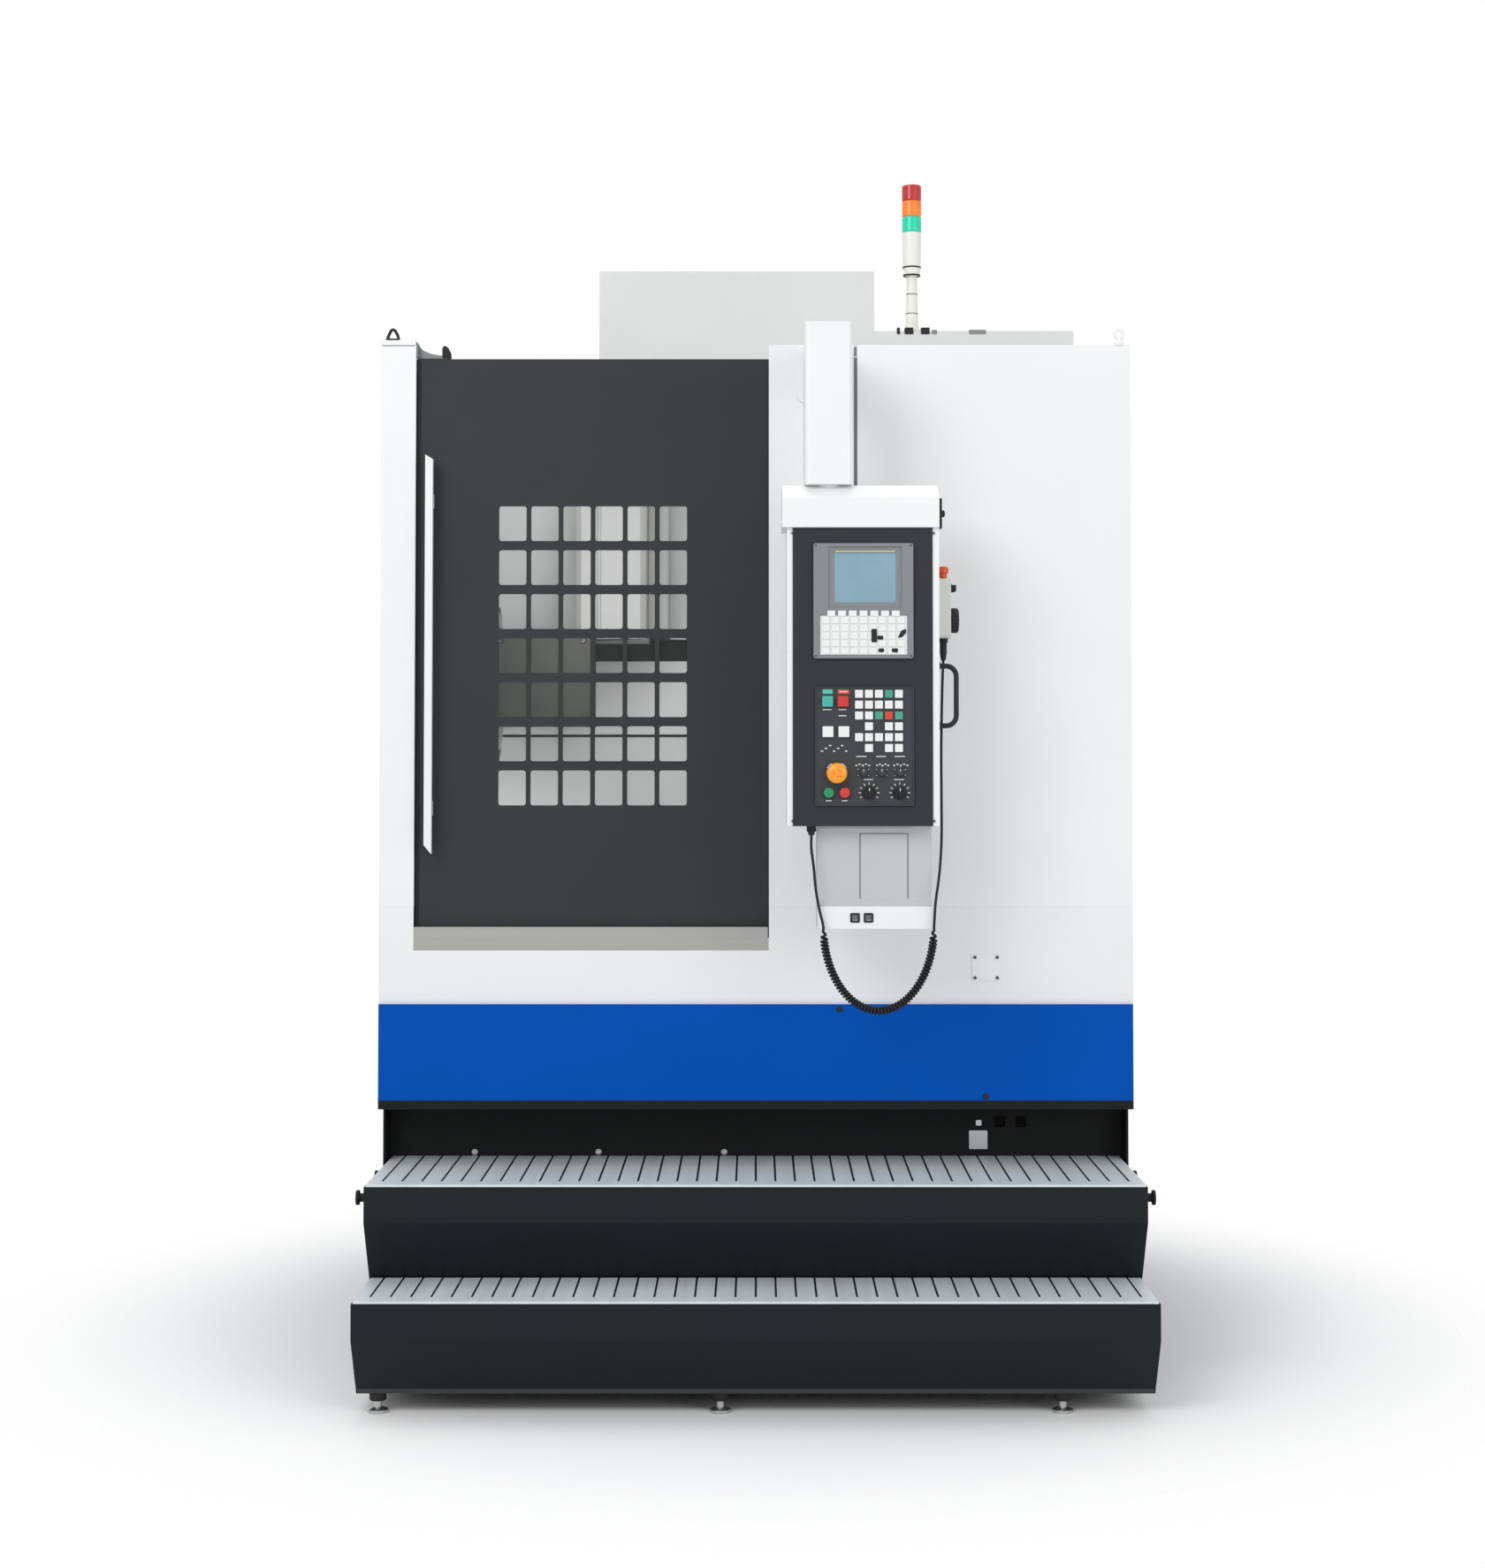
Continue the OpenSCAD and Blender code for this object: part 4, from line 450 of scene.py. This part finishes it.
# Half oval of the curl: middle, half width, plane, top and drop
CURL_MID, CURL_HALF = 308.75, 139.25
CURL_Y, CURL_TOP, CURL_DROP = -1045, 1202, 212
LEAD = [(479.5, -955, 1874), (476.5, -955, 1800), (473.5, -958, 1650), (473, -968, 1520), (471, -995, 1420),
        (463, -1030, 1335), (452, -1045, 1262)]
CURL = [(CURL_MID + CURL_HALF * math.cos(math.radians(t)), CURL_Y,
         CURL_TOP - CURL_DROP * math.sin(math.radians(t))) for t in range(0, 181, 15)]
TAIL = [(161, -1045, 1238), (151, -1045, 1293), (146, -1044, 1348), (140, -1040, 1395), (140, -1040, 1430)]
ROUTE = [Vector(p) for p in LEAD + CURL + TAIL]


def route_at(u):
    """Point on the smooth route at a running place, as in the CAD."""
    i = min(len(ROUTE) - 2, int(u))
    f = u - i
    a, b, c, d = (ROUTE[max(0, min(len(ROUTE) - 1, i + k))] for k in (-1, 0, 1, 2))
    return b + f * ((c - a) / 2 + f * ((2 * a - 5 * b + 4 * c - d) / 2 + f * (3 * (b - c) + d - a) / 2))


def cord_points():
    """Centreline in millimetres: the coil grows out of the lead and shrinks into the tail."""
    first, last = len(LEAD), len(LEAD) + len(CURL) - 1
    points = [route_at(first * k / LEAD_POINTS) for k in range(LEAD_POINTS)]
    fine = [route_at(first + (last - first) * k / FINE_STEPS) for k in range(FINE_STEPS + 1)]
    run = [0.0]
    for a, b in zip(fine, fine[1:]):
        run.append(run[-1] + (b - a).length)
    count = int(run[-1] / COIL_PITCH * TURN_STEPS)
    angle = 0.0
    k = 0
    for step in range(count + 1):
        s = run[-1] * step / count
        while k < len(run) - 2 and run[k + 1] < s:
            k += 1
        here = fine[k].lerp(fine[k + 1], (s - run[k]) / (run[k + 1] - run[k]))
        ahead = (fine[min(k + 2, FINE_STEPS)] - fine[max(k - 1, 0)]).normalized()
        side = Vector((0, 1, 0))
        up = ahead.cross(side)
        near = min(1, s / COIL_EASE, (run[-1] - s) / COIL_EASE)
        grow = near * near * (3 - 2 * near)
        points.append(here + COIL_R * grow * (side * math.cos(angle) + up * math.sin(angle)))
        angle += 2 * math.pi / TURN_STEPS * (SLOW_TURN + (1 - SLOW_TURN) * near * near)
    end = len(ROUTE) - 1
    points += [route_at(last + (end - last) * k / TAIL_POINTS) for k in range(1, TAIL_POINTS + 1)]
    return points


def make_cord():
    """The whole cord as one round curve."""
    points = cord_points()
    curve = bpy.data.curves.new("pulse_cord", "CURVE")
    curve.dimensions = "3D"
    curve.bevel_depth = CORD_D / 2 * MM
    curve.bevel_resolution = 3
    curve.use_fill_caps = True
    spline = curve.splines.new("POLY")
    spline.points.add(len(points) - 1)
    for spot, p in zip(spline.points, points):
        spot.co = (*(p * MM), 1)
    spline.use_smooth = True
    made = bpy.data.objects.new("pulse_cord", curve)
    scene.collection.objects.link(made)
    curve.materials.append(M["black_rubber"])
    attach(made, "pendant")
    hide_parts("pulse_lead", "pulse_curl")


make_cord()

# Front of the enclosure

FRONT = (0, -1, 0)
UP = (0, 0, 1)
SKIN_Y = -688
COVER_Y = SKIN_Y - 2.5
BAND_Y = -700
KICK_Y = -507

Shape().prism(rrect(573, 1036, 648, 1106, 4), COVER_Y, SKIN_Y).piece(
    "cover_plate", "frame", "white_paint")

shape = Shape()
for x in (581, 640):
    for z in (1044, 1098):
        shape.screw((x, COVER_Y, z), FRONT, 9)
shape.piece("cover_screws", "frame", "dark_steel", bevel=0)

shape = Shape()
for x, z in ((222, 962), (607, 732)):
    shape.hex_bolt((x, BAND_Y, z), FRONT, 13, 5)
shape.piece("band_bolts", "frame", "black_plastic", bevel=0.2)

shape = Shape().prism(rrect(579, 566, 629, 616, 2), KICK_Y - 3, KICK_Y)
shape.prism(rrect(597.5, 629.5, 612.5, 644.5, 2), KICK_Y - 5, KICK_Y)
for x in (-763, -427, -86):
    shape.hex_bolt((x, KICK_Y, 557), FRONT, 13, 9)
shape.piece("kick_fittings", "frame", "bright_steel", bevel=0.4)

Shape().prism(rrect(262.5, -683, 270.5, -680, 1), 1236, 2726, "z").piece(
    "groove_strip", "frame", "grey_paint", "panel_grey", bevel=0.3)

Shape().prism(rrect(640, 612, 752, 668, 4), -504, -501).piece(
    "kick_backing", "frame", "black_plastic", "wiper_black", bevel=0.5)

Shape().prism(rrect(-1000, SKIN_Y, -908.5, -646, 2), 2726, 2744, "z").piece(
    "pillar_cap", "frame", "white_paint", bevel=1.2)

# Lifting eyes over the two front folds
EYE_Y = -681
EYE_RIGHT_X = 972
EYE_BAR = [(-986, 2745), (-984, 2752), (-979, 2764), (-975, 2771), (-970, 2773), (-965, 2769), (-958, 2756),
           (-955, 2745)]
shape = Shape().prism(rrect(-990, -688, -952, -674, 4), 2743, 2748, "z")
shape.tube([(x, EYE_Y, z) for x, z in EYE_BAR], 4.2)
shape.piece("lifting_eye_left", "frame", "black_plastic", bevel=0.8)
shape = Shape().turned([(0, 0), (13, 0), (13, 8), (8, 14), (6, 22), (0, 22)], (EYE_RIGHT_X, EYE_Y, 2729))
shape.tube([(EYE_RIGHT_X + 11 * math.cos(a), EYE_Y, 2760 + 13 * math.sin(a))
            for a in spread(0, 2 * math.pi, 33)[:-1]], 4.5, closed=True)
shape.piece("lifting_eye_right", "frame", "white_paint", bevel=0.8)

# Door stop bracket with its buffer, in the opening's top left corner
shape = Shape().prism([(-905, 2697), (-817, 2697), (-840, 2705), (-870, 2710), (-892, 2719), (-899, 2726),
                       (-905, 2736)], -664, -652)
shape.prism(rrect(-909, -684, -904, -652, 1), 2698, 2737, "z")
shape.piece("door_stop", "frame", "grey_paint", "panel_grey", bevel=0.6)
shape = Shape().prism([(-841, 2699), (-817, 2697.5), (-818, 2712), (-825, 2726), (-832, 2732), (-838, 2731),
                       (-841, 2724)], -667, -649)
shape.piece("door_buffer", "frame", "black_rubber", bevel=1.5)

# Signal tower and duct trim
TOWER = (434, -420)
shape = Shape()
for z, r, h in ((2861, 17.4, 1.8), (2915, 16.0, 1.8), (2967, 24.2, 4), (2989, 25.8, 4)):
    shape.turned([(r - 4, 0), (r, 0), (r, h), (r - 4, h)], (*TOWER, z), sides=48, ring=True)
shape.piece("tower_seams", "frame", "black_plastic", bevel=0.3)
shape = Shape()
for x, w in ((394, 8), (423, 24), (468, 24)):
    shape.prism(rrect(x - w / 2, -474, x + w / 2, -448, 2), 2797, 2815, "z")
shape.piece("duct_clamps", "frame", "black_plastic", bevel=1)
shape = Shape()
for x, w in ((493, 14), (612, 46)):
    shape.prism([(-472, 2797), (-472, 2809), (-455, 2809), (-455, 2806), (-469.5, 2806), (-469.5, 2797)],
                x - w / 2, x + w / 2, "x")
shape.piece("duct_clips", "frame", "grey_paint", "panel_grey", bevel=0.4)

# Rubber bosses over the step feet
shape = Shape()
for x in (-939, -88, 763):
    for y in (-1073, -547):
        shape.turned([(11, 0), (19, 0), (21, 3), (21, 18), (19, 20), (11, 20)], (x, y, 30), ring=True)
shape.piece("step_bosses", "frame", "black_rubber", bevel=0.5)

# Hem along the bottom edge of the lower step, painted lighter than the step as painted light on its bent lip
Shape().prism([(-1094.6, 51), (-1103.7, 65), (-1104.7, 64.35), (-1095.6, 50.35)], -986, 986, "x").piece(
    "step_hem", "frame", "step_paint", "plate_dark", bevel=0.3)

# Side hatches and seams, and the screws of the side panels, roof and hood

LEFT, RIGHT = (-1, 0, 0), (1, 0, 0)
SIDE_X = 1000
HATCH_T = 3
ROOF_SCREW_Z = 2700
HOOD_TOP = 3124
LATCH = [(0, 5), (5, 5), (5, 7), (13, 7), (15, 5), (15, -0.3), (0, -0.3)]
HATCHES = (("left_hatch", LEFT, 300, 1300, 900, 2200), ("right_hatch", RIGHT, -560, 1330, -80, 2240))
screws = Shape()
latches = Shape()
seams = Shape()
for name, out, y0, z0, y1, z1 in HATCHES:
    face = out[0] * (SIDE_X + HATCH_T)
    Shape().prism(rrect(y0, z0, y1, z1, 18), out[0] * SIDE_X, face, "x").piece(
        name, "frame", "white_paint", bevel=0.8)
    seams.prism(rrect(y0 - 3, z0 - 3, y1 + 3, z1 + 3, 20), out[0] * SIDE_X, out[0] * (SIDE_X + 1), "x")
    for z in (z0 + 16, z1 - 16):
        for y in spread(y0 + 30, y1 - 30, 4):
            screws.screw((face, y, z), out, 10)
    for z in spread(z0 + 200, z1 - 200, 2):
        latches.turned(LATCH, (face, y0 + 34, z), out)
for side in (LEFT, RIGHT):
    for z in (1010, 2660):
        for y in spread(-560, 1120, 8):
            screws.screw((side[0] * SIDE_X, y, z), side, 9)
for y in spread(-560, 1140, 9):
    screws.screw((976, y, ROOF_SCREW_Z), UP, 9)
for x in spread(-440, 320, 5):
    for y in (324, 1166):
        screws.screw((x, y, HOOD_TOP), UP, 9)
for side, seam_y in ((-1, 60), (-1, 1010), (1, 40), (1, 700)):
    seams.prism(rrect(seam_y - 1.5, 978, seam_y + 1.5, 2728, 1), side * SIDE_X, side * (SIDE_X + 0.4), "x")
seams.piece("side_seams", "frame", "black_rubber", bevel=0)
screws.piece("panel_screws", "frame", "bright_steel", bevel=0)
latches.piece("hatch_latches", "frame", "black_plastic", bevel=0.5)

# Chamber: work lamp and the spindle housing's bolts

LAMP_AT = (-909, -430)
shape = Shape().turned([(0, 0), (11, 0), (11, 640), (0, 640)], (*LAMP_AT, 1520), sides=40)
shape.piece("lamp_tube", "frame", "cream_plastic", "lamp_white", bevel=0.8)
shape = Shape()
for z in (1490, 2155):
    shape.turned([(0, 0), (14, 0), (15, 2), (15, 33), (14, 35), (0, 35)], (*LAMP_AT, z), sides=40)
for z in (1500, 2165):
    shape.prism(rrect(-930, -445, -908, -415, 3), z, z + 16, "z")
shape.piece("lamp_ends", "frame", "black_plastic", bevel=0.6)

SPINDLE = (-436.5, -60)
HOUSING_BOLTS = 12
HOUSING_BOLT_R = 255
HOUSING_TOP = 995


def about_spindle(r, a, z):
    """Point at a radius and an angle about the spindle's axis."""
    return SPINDLE[0] + r * math.cos(a), SPINDLE[1] + r * math.sin(a), z


shape = Shape()
for k in range(HOUSING_BOLTS):
    a = 2 * math.pi * (k + 0.5) / HOUSING_BOLTS
    shape.hex_bolt(about_spindle(HOUSING_BOLT_R, a, HOUSING_TOP), UP, 16, 12)
shape.piece("housing_bolts", "frame", "dark_steel", bevel=0.5)

# Door trim

Shape().prism(rrect(-905, -673, -897, -670, 1), 1184, 2688, "z").piece(
    "door_seal", "door", "black_rubber", bevel=0.4)

# Chuck and jaws

CHUCK_TOP = 1250
CHUCK_SCREW_R = 128
shape = Shape()
for k in range(6):
    a = math.radians(30 + 60 * k + 30 * (k % 2))
    shape.turned([(0, 0.4), (7, 0.4), (7, 2), (9, 3), (12, 3), (13, 2), (13, -0.3), (0, -0.3)],
                 about_spindle(CHUCK_SCREW_R, a, CHUCK_TOP), UP, 24)
shape.turned([(46, -0.3), (53, -0.3), (53, 1.5), (52, 2.5), (47.5, 2.5), (46, 1)], (*SPINDLE, CHUCK_TOP),
             sides=64, ring=True)
shape.piece("chuck_screws", "spindle", "dark_steel", bevel=0.3)
# Radius and height of the screwed steps of a jaw
JAW_STEPS = ((128, 1298.3), (169, 1274.3))
for n, turn in enumerate((90, 210, 330), 1):
    a = math.radians(turn)
    shape = Shape()
    for r, z in JAW_STEPS:
        shape.screw(about_spindle(r, a, z), UP, 20)
    shape.piece("jaw_screws_%d" % n, "jaw_%d" % n, "dark_steel", bevel=0)

# Turret tooling: station s points along (sin, -cos) of its angle

DISC = Vector((-847.8, -60, 1853))
STATIONS = 12


def station(s, r, t, w):
    """World place of a station's radial, sideways and axial distances."""
    a = 2 * math.pi * s / STATIONS
    return DISC + Vector((w, r * math.sin(a) + t * math.cos(a), t * math.sin(a) - r * math.cos(a)))


def ways(s):
    """Outward and sideways directions of a station."""
    a = 2 * math.pi * s / STATIONS
    return Vector((0, math.sin(a), -math.cos(a))), Vector((0, math.cos(a), math.sin(a)))


inserts = Shape()
clamps = Shape()
for s in range(STATIONS):
    out, side = ways(s)
    for w in (22, 78):
        if s % 2:
            clamps.screw(station(s, 244.9, -12, w), out, 15)
        else:
            clamps.screw(station(s, 224, 38, w), side, 13)
            clamps.screw(station(s, 224, -38, w), -side, 13)
    if s % 2:
        corners = [(255, 50), (262, 43.5), (268.3, 50), (262, 56.5)]
        ends = [inserts.loop([station(s, r, t, w) for r, w in corners]) for t in (39.5, 43.5)]
    else:
        corners = [(-9, 43), (9, 43), (0, 58)]
        ends = [inserts.loop([station(s, r, t, w) for t, w in corners]) for r in (266, 268.6)]
    inserts.skin(*ends)
    for end in ends:
        inserts.bm.faces.new(end)
inserts.piece("tool_inserts", "turret", "bright_steel", "carbide_gold", bevel=0.4)
clamps.piece("holder_screws", "turret", "dark_steel", bevel=0)
shape = Shape()
for x in (-728, -492):
    for z in (1742, 1964):
        shape.screw((x, -200, z), FRONT, 18)
shape.piece("housing_screws", "ram", "dark_steel", bevel=0)

# Rear cabinet

shape = Shape()
for z in (1480, 2230):
    shape.prism(rrect(366, z, 390, z + 120, 6), 1153, 1160)
    shape.prism(rrect(371, z + 10, 385, z + 96, 6), 1160, 1172)
shape.piece("cabinet_latches", "cabinet_door", "black_plastic", bevel=1.2)

# Operator pendant

FACE_Y = -1066
PLATE_Y = -1071
UNIT_Y = -1076
KNEE_Y = -1010
LIP_Y = -1030

shape = Shape().prism(rrect(462, -1005, 474, -965, 3), 2209, 2285, "z")
shape.turned([(0, 0), (9, 0), (9, 6), (7, 9), (0, 9)], (473, -985, 2247), RIGHT, 24)
shape.piece("side_clip", "pendant", "black_plastic", bevel=1)

# Dark rim round the knee's cover plate: painted shade along its folded edges
Shape().prism(rrect(262, 1253, 386, 1434, 5), KNEE_Y - 0.8, KNEE_Y).piece(
    "knee_edge_shade", "pendant", "panel_grey", bevel=0)
# Cover plate on the knee, in the knee's painted shade grey
shape = Shape().prism(rrect(265, 1256, 383, 1432, 4), KNEE_Y - 3, KNEE_Y)
shape.prism(rrect(157, 1436, 392, 1448, 2), KNEE_Y - 3, KNEE_Y)
shape.piece("knee_cover", "pendant", "white_paint", "knee_painted_shade", bevel=1.2)

shape = Shape()
for x in (250, 284):
    outer = rrect(x - 12, 1210, x + 12, 1234, 3)
    inner = rrect(x - 7, 1215, x + 7, 1229, 1.5)
    ends = [[shape.loop([(u, y, v) for u, v in outline]) for outline in (outer, inner)]
            for y in (LIP_Y - 2.5, LIP_Y)]
    for front, back in zip(*ends):
        shape.skin(front, back)
    for big, small in ends:
        shape.skin(big, small)
shape.piece("socket_frames", "pendant", "black_plastic", bevel=0.3)

# Cream strip at the top of the screen: a painted reflection
Shape().prism(rrect(200, 2141.5, 350, 2144.5, 1), UNIT_Y - 0.8, UNIT_Y).piece(
    "screen_reflection_strip", "pendant", "cream_plastic", "screen_reflection_cream", bevel=0.2)

shape = Shape()
for x, z in ((156, 1511), (390, 1511), (156, 1794), (390, 1794)):
    shape.screw((x, PLATE_Y, z), FRONT, 5)
for x, z in ((151, 1880), (390, 1880), (151, 2158), (390, 2158)):
    shape.screw((x, UNIT_Y, z), FRONT, 5)
for x, z in ((92, 1466), (448, 1466), (92, 2190), (448, 2190)):
    shape.screw((x, FACE_Y, z), FRONT, 6)
shape.piece("pendant_screws", "pendant", "dark_steel", bevel=0)

# Keypad mat that the keys stand through, and the dark cursor keys
Shape().prism(rrect(162, 1883, 380, 1981, 3), UNIT_Y - 1.2, UNIT_Y).piece(
    "keypad_mat", "pendant", "key_plastic", "mat_white", bevel=0.3)
shape = Shape()
for outline in (rrect(290, 1914, 304, 1948, 3), rrect(305, 1921, 320, 1931, 3),
                rrect(308, 1889, 322, 1899, 3), rrect(341, 1889, 357, 1899, 3),
                [(356, 1926), (367, 1926), (377, 1938), (377, 1948), (366, 1944)]):
    shape.prism(outline, UNIT_Y - 4.2, UNIT_Y - 0.5)
shape.piece("cursor_keys", "pendant", "black_plastic", bevel=0.6)

# Printed marks of the operator plate, as thin raised print
PRINT_T = 0.35
# Middles of the small switches, the large knobs and the stop button
SWITCH_X, SWITCH_Z = (270, 316, 362), 1588
KNOB_X, KNOB_Z = (284, 361), 1537
STOP_AT = (203, 1586)


def marks(name, look, outlines, y=PLATE_Y, body="pendant", slot="key_plastic"):
    """Print made of flat outlines on one face."""
    made = Shape()
    for outline in outlines:
        made.prism(outline, y - PRINT_T, y)
    return made.piece(name, body, slot, look, bevel=0)


def dash(x0, x1, z0, z1):
    """Outline of a plain bar."""
    return [(x0, z0), (x1, z0), (x1, z1), (x0, z1)]


def ticks(cx, cz, r0, r1, count):
    """Short radial strokes round a knob, from lower left over the top to lower right."""
    return [arc_band(cx, cz, r0, r1, a - 2.2, a + 2.2, 1) for a in spread(-30, 210, count)]


white = [dash(168, 190, 1744.5, 1746.5), dash(208, 227, 1744.5, 1746.5), dash(208, 227, 1729, 1731)]
white += [dash(x0, x1, 1627, 1629) for x0, x1 in ((252, 278), (302, 326), (348, 374))]
white += [dash(x0, x1, 1569, 1571) for x0, x1 in ((271, 294), (347, 372))]
for cx in SWITCH_X:
    white += ticks(cx, SWITCH_Z, 13.5, 16.5, 5)
for cx in KNOB_X:
    white += ticks(cx, KNOB_Z, 20, 26, 9)
for x0, x1 in ((250, 287), (302, 335), (345, 383)):
    white += [dash(x, x + 4.5, 1604 + 3 * (k % 2), 1607 + 3 * (k % 2))
              for k, x in enumerate(spread(x0, x1 - 5, 5))]
white += [dash(x, x + 6, 1640 + 7 * (k % 3), 1642.5 + 7 * (k % 3))
          for k, x in enumerate(spread(163, 224, 7))]
white += [arc_band(*STOP_AT, 26, 28, a, a + 34, 5) for a in (30, 118)]
white += [dash(x, x + 14, 1516, 1518) for x in (176, 216)]
marks("plate_print", "print_white", white)
marks("plate_teal", "print_teal", [rrect(168, 1785, 193, 1796, 1)], slot="button_teal")
marks("plate_red", "print_red", [rrect(206, 1785, 234, 1796, 1)], slot="button_red")
marks("plate_red_print", "print_white", [dash(210, 230, 1789.5, 1791.5)], PLATE_Y - PRINT_T)

# Pointers and the stop button's turning arrows
shape = Shape()
for start in (20, 140, 260):
    shape.prism(arc_band(*STOP_AT, 7.5, 10, start, start + 70), -1102.7, -1100)
shape.piece("stop_arrows", "emergency_stop", "stop_orange", "stop_mark", bevel=0.2)
for body, cx in zip(("feed_knob", "speed_knob"), KNOB_X):
    marks(body + "_pointer", "print_white", [dash(cx - 0.9, cx + 0.9, 1541, 1549)], -1091.3, body)
marks("switch_pointers", "print_white", [dash(cx - 0.7, cx + 0.7, 1590, 1596) for cx in SWITCH_X], -1085)

# Floor, background and lights, in metres and watts

FLOOR_SIZE = 24
FADE_FROM, FADE_TO = 1.2, 2.4
SOFT_COLOR, SOFT_STRENGTH = (0.97, 0.985, 1.0, 1), 0.72


def floor_material():
    """Pale floor that keeps the shadow near the object and fades into the white background."""
    made = bpy.data.materials.new("floor")
    made.use_nodes = True
    tree = made.node_tree
    shader = tree.nodes["Principled BSDF"]
    shader.inputs["Base Color"].default_value = (0.96, 0.96, 0.96, 1)
    shader.inputs["Roughness"].default_value = 0.7
    shader.inputs["Specular IOR Level"].default_value = 0.1
    coord = tree.nodes.new("ShaderNodeTexCoord")
    away = tree.nodes.new("ShaderNodeVectorMath")
    away.operation = "LENGTH"
    fade = tree.nodes.new("ShaderNodeMapRange")
    fade.interpolation_type = "SMOOTHSTEP"
    fade.inputs["From Min"].default_value = FADE_FROM
    fade.inputs["From Max"].default_value = FADE_TO
    clear = tree.nodes.new("ShaderNodeBsdfTransparent")
    mix = tree.nodes.new("ShaderNodeMixShader")
    tree.links.new(coord.outputs["Object"], away.inputs[0])
    tree.links.new(away.outputs["Value"], fade.inputs["Value"])
    tree.links.new(fade.outputs["Result"], mix.inputs["Fac"])
    tree.links.new(shader.outputs["BSDF"], mix.inputs[1])
    tree.links.new(clear.outputs["BSDF"], mix.inputs[2])
    tree.links.new(mix.outputs["Shader"], tree.nodes["Material Output"].inputs["Surface"])
    return made


mesh = bpy.data.meshes.new("floor")
half = FLOOR_SIZE / 2
mesh.from_pydata([(-half, -half, 0), (half, -half, 0), (half, half, 0), (-half, half, 0)], [], [(0, 1, 2, 3)])
mesh.materials.append(floor_material())
floor = bpy.data.objects.new("floor", mesh)
scene.collection.objects.link(floor)

# Soft light on the part, and plain white where the camera, a reflection or glass looks past it
world = bpy.data.worlds.new("studio")
scene.world = world
world.use_nodes = True
tree = world.node_tree
soft = tree.nodes["Background"]
soft.inputs["Color"].default_value = SOFT_COLOR
soft.inputs["Strength"].default_value = SOFT_STRENGTH
plain = tree.nodes.new("ShaderNodeBackground")
plain.inputs["Color"].default_value = (1, 1, 1, 1)
plain.inputs["Strength"].default_value = 1.0
light_path = tree.nodes.new("ShaderNodeLightPath")
mix = tree.nodes.new("ShaderNodeMixShader")
seen = tree.nodes.new("ShaderNodeMath")
seen.operation = "MAXIMUM"
through = tree.nodes.new("ShaderNodeMath")
through.operation = "MAXIMUM"
tree.links.new(light_path.outputs["Is Camera Ray"], seen.inputs[0])
tree.links.new(light_path.outputs["Is Glossy Ray"], seen.inputs[1])
tree.links.new(seen.outputs[0], through.inputs[0])
tree.links.new(light_path.outputs["Is Transmission Ray"], through.inputs[1])
tree.links.new(through.outputs[0], mix.inputs["Fac"])
tree.links.new(soft.outputs["Background"], mix.inputs[1])
tree.links.new(plain.outputs["Background"], mix.inputs[2])
tree.links.new(mix.outputs["Shader"], tree.nodes["World Output"].inputs["Surface"])


def area_light(name, at, aim, size, watts):
    """Square soft light looking at a point."""
    data = bpy.data.lights.new(name, "AREA")
    data.size = size
    data.energy = watts
    made = bpy.data.objects.new(name, data)
    made.location = at
    made.rotation_euler = (Vector(aim) - Vector(at)).to_track_quat("-Z", "Y").to_euler()
    made.visible_camera = False
    scene.collection.objects.link(made)


area_light("key", (-3.5, -6.5, 5.5), (0, 0, 1.4), 3.5, 195)
area_light("fill", (4.5, -6.0, 3.0), (0, 0, 1.4), 3.5, 85)
area_light("top", (-0.4, 0.2, 6.0), (-0.4, 0, 0), 2.5, 45)
area_light("chamber_low", (-0.84, -0.40, 1.28), (-0.76, 0.25, 1.42), 0.3, 2.7)
area_light("chamber_top", (-0.42, -0.60, 2.17), (-0.42, 0.25, 2.15), 0.6, 3.1)
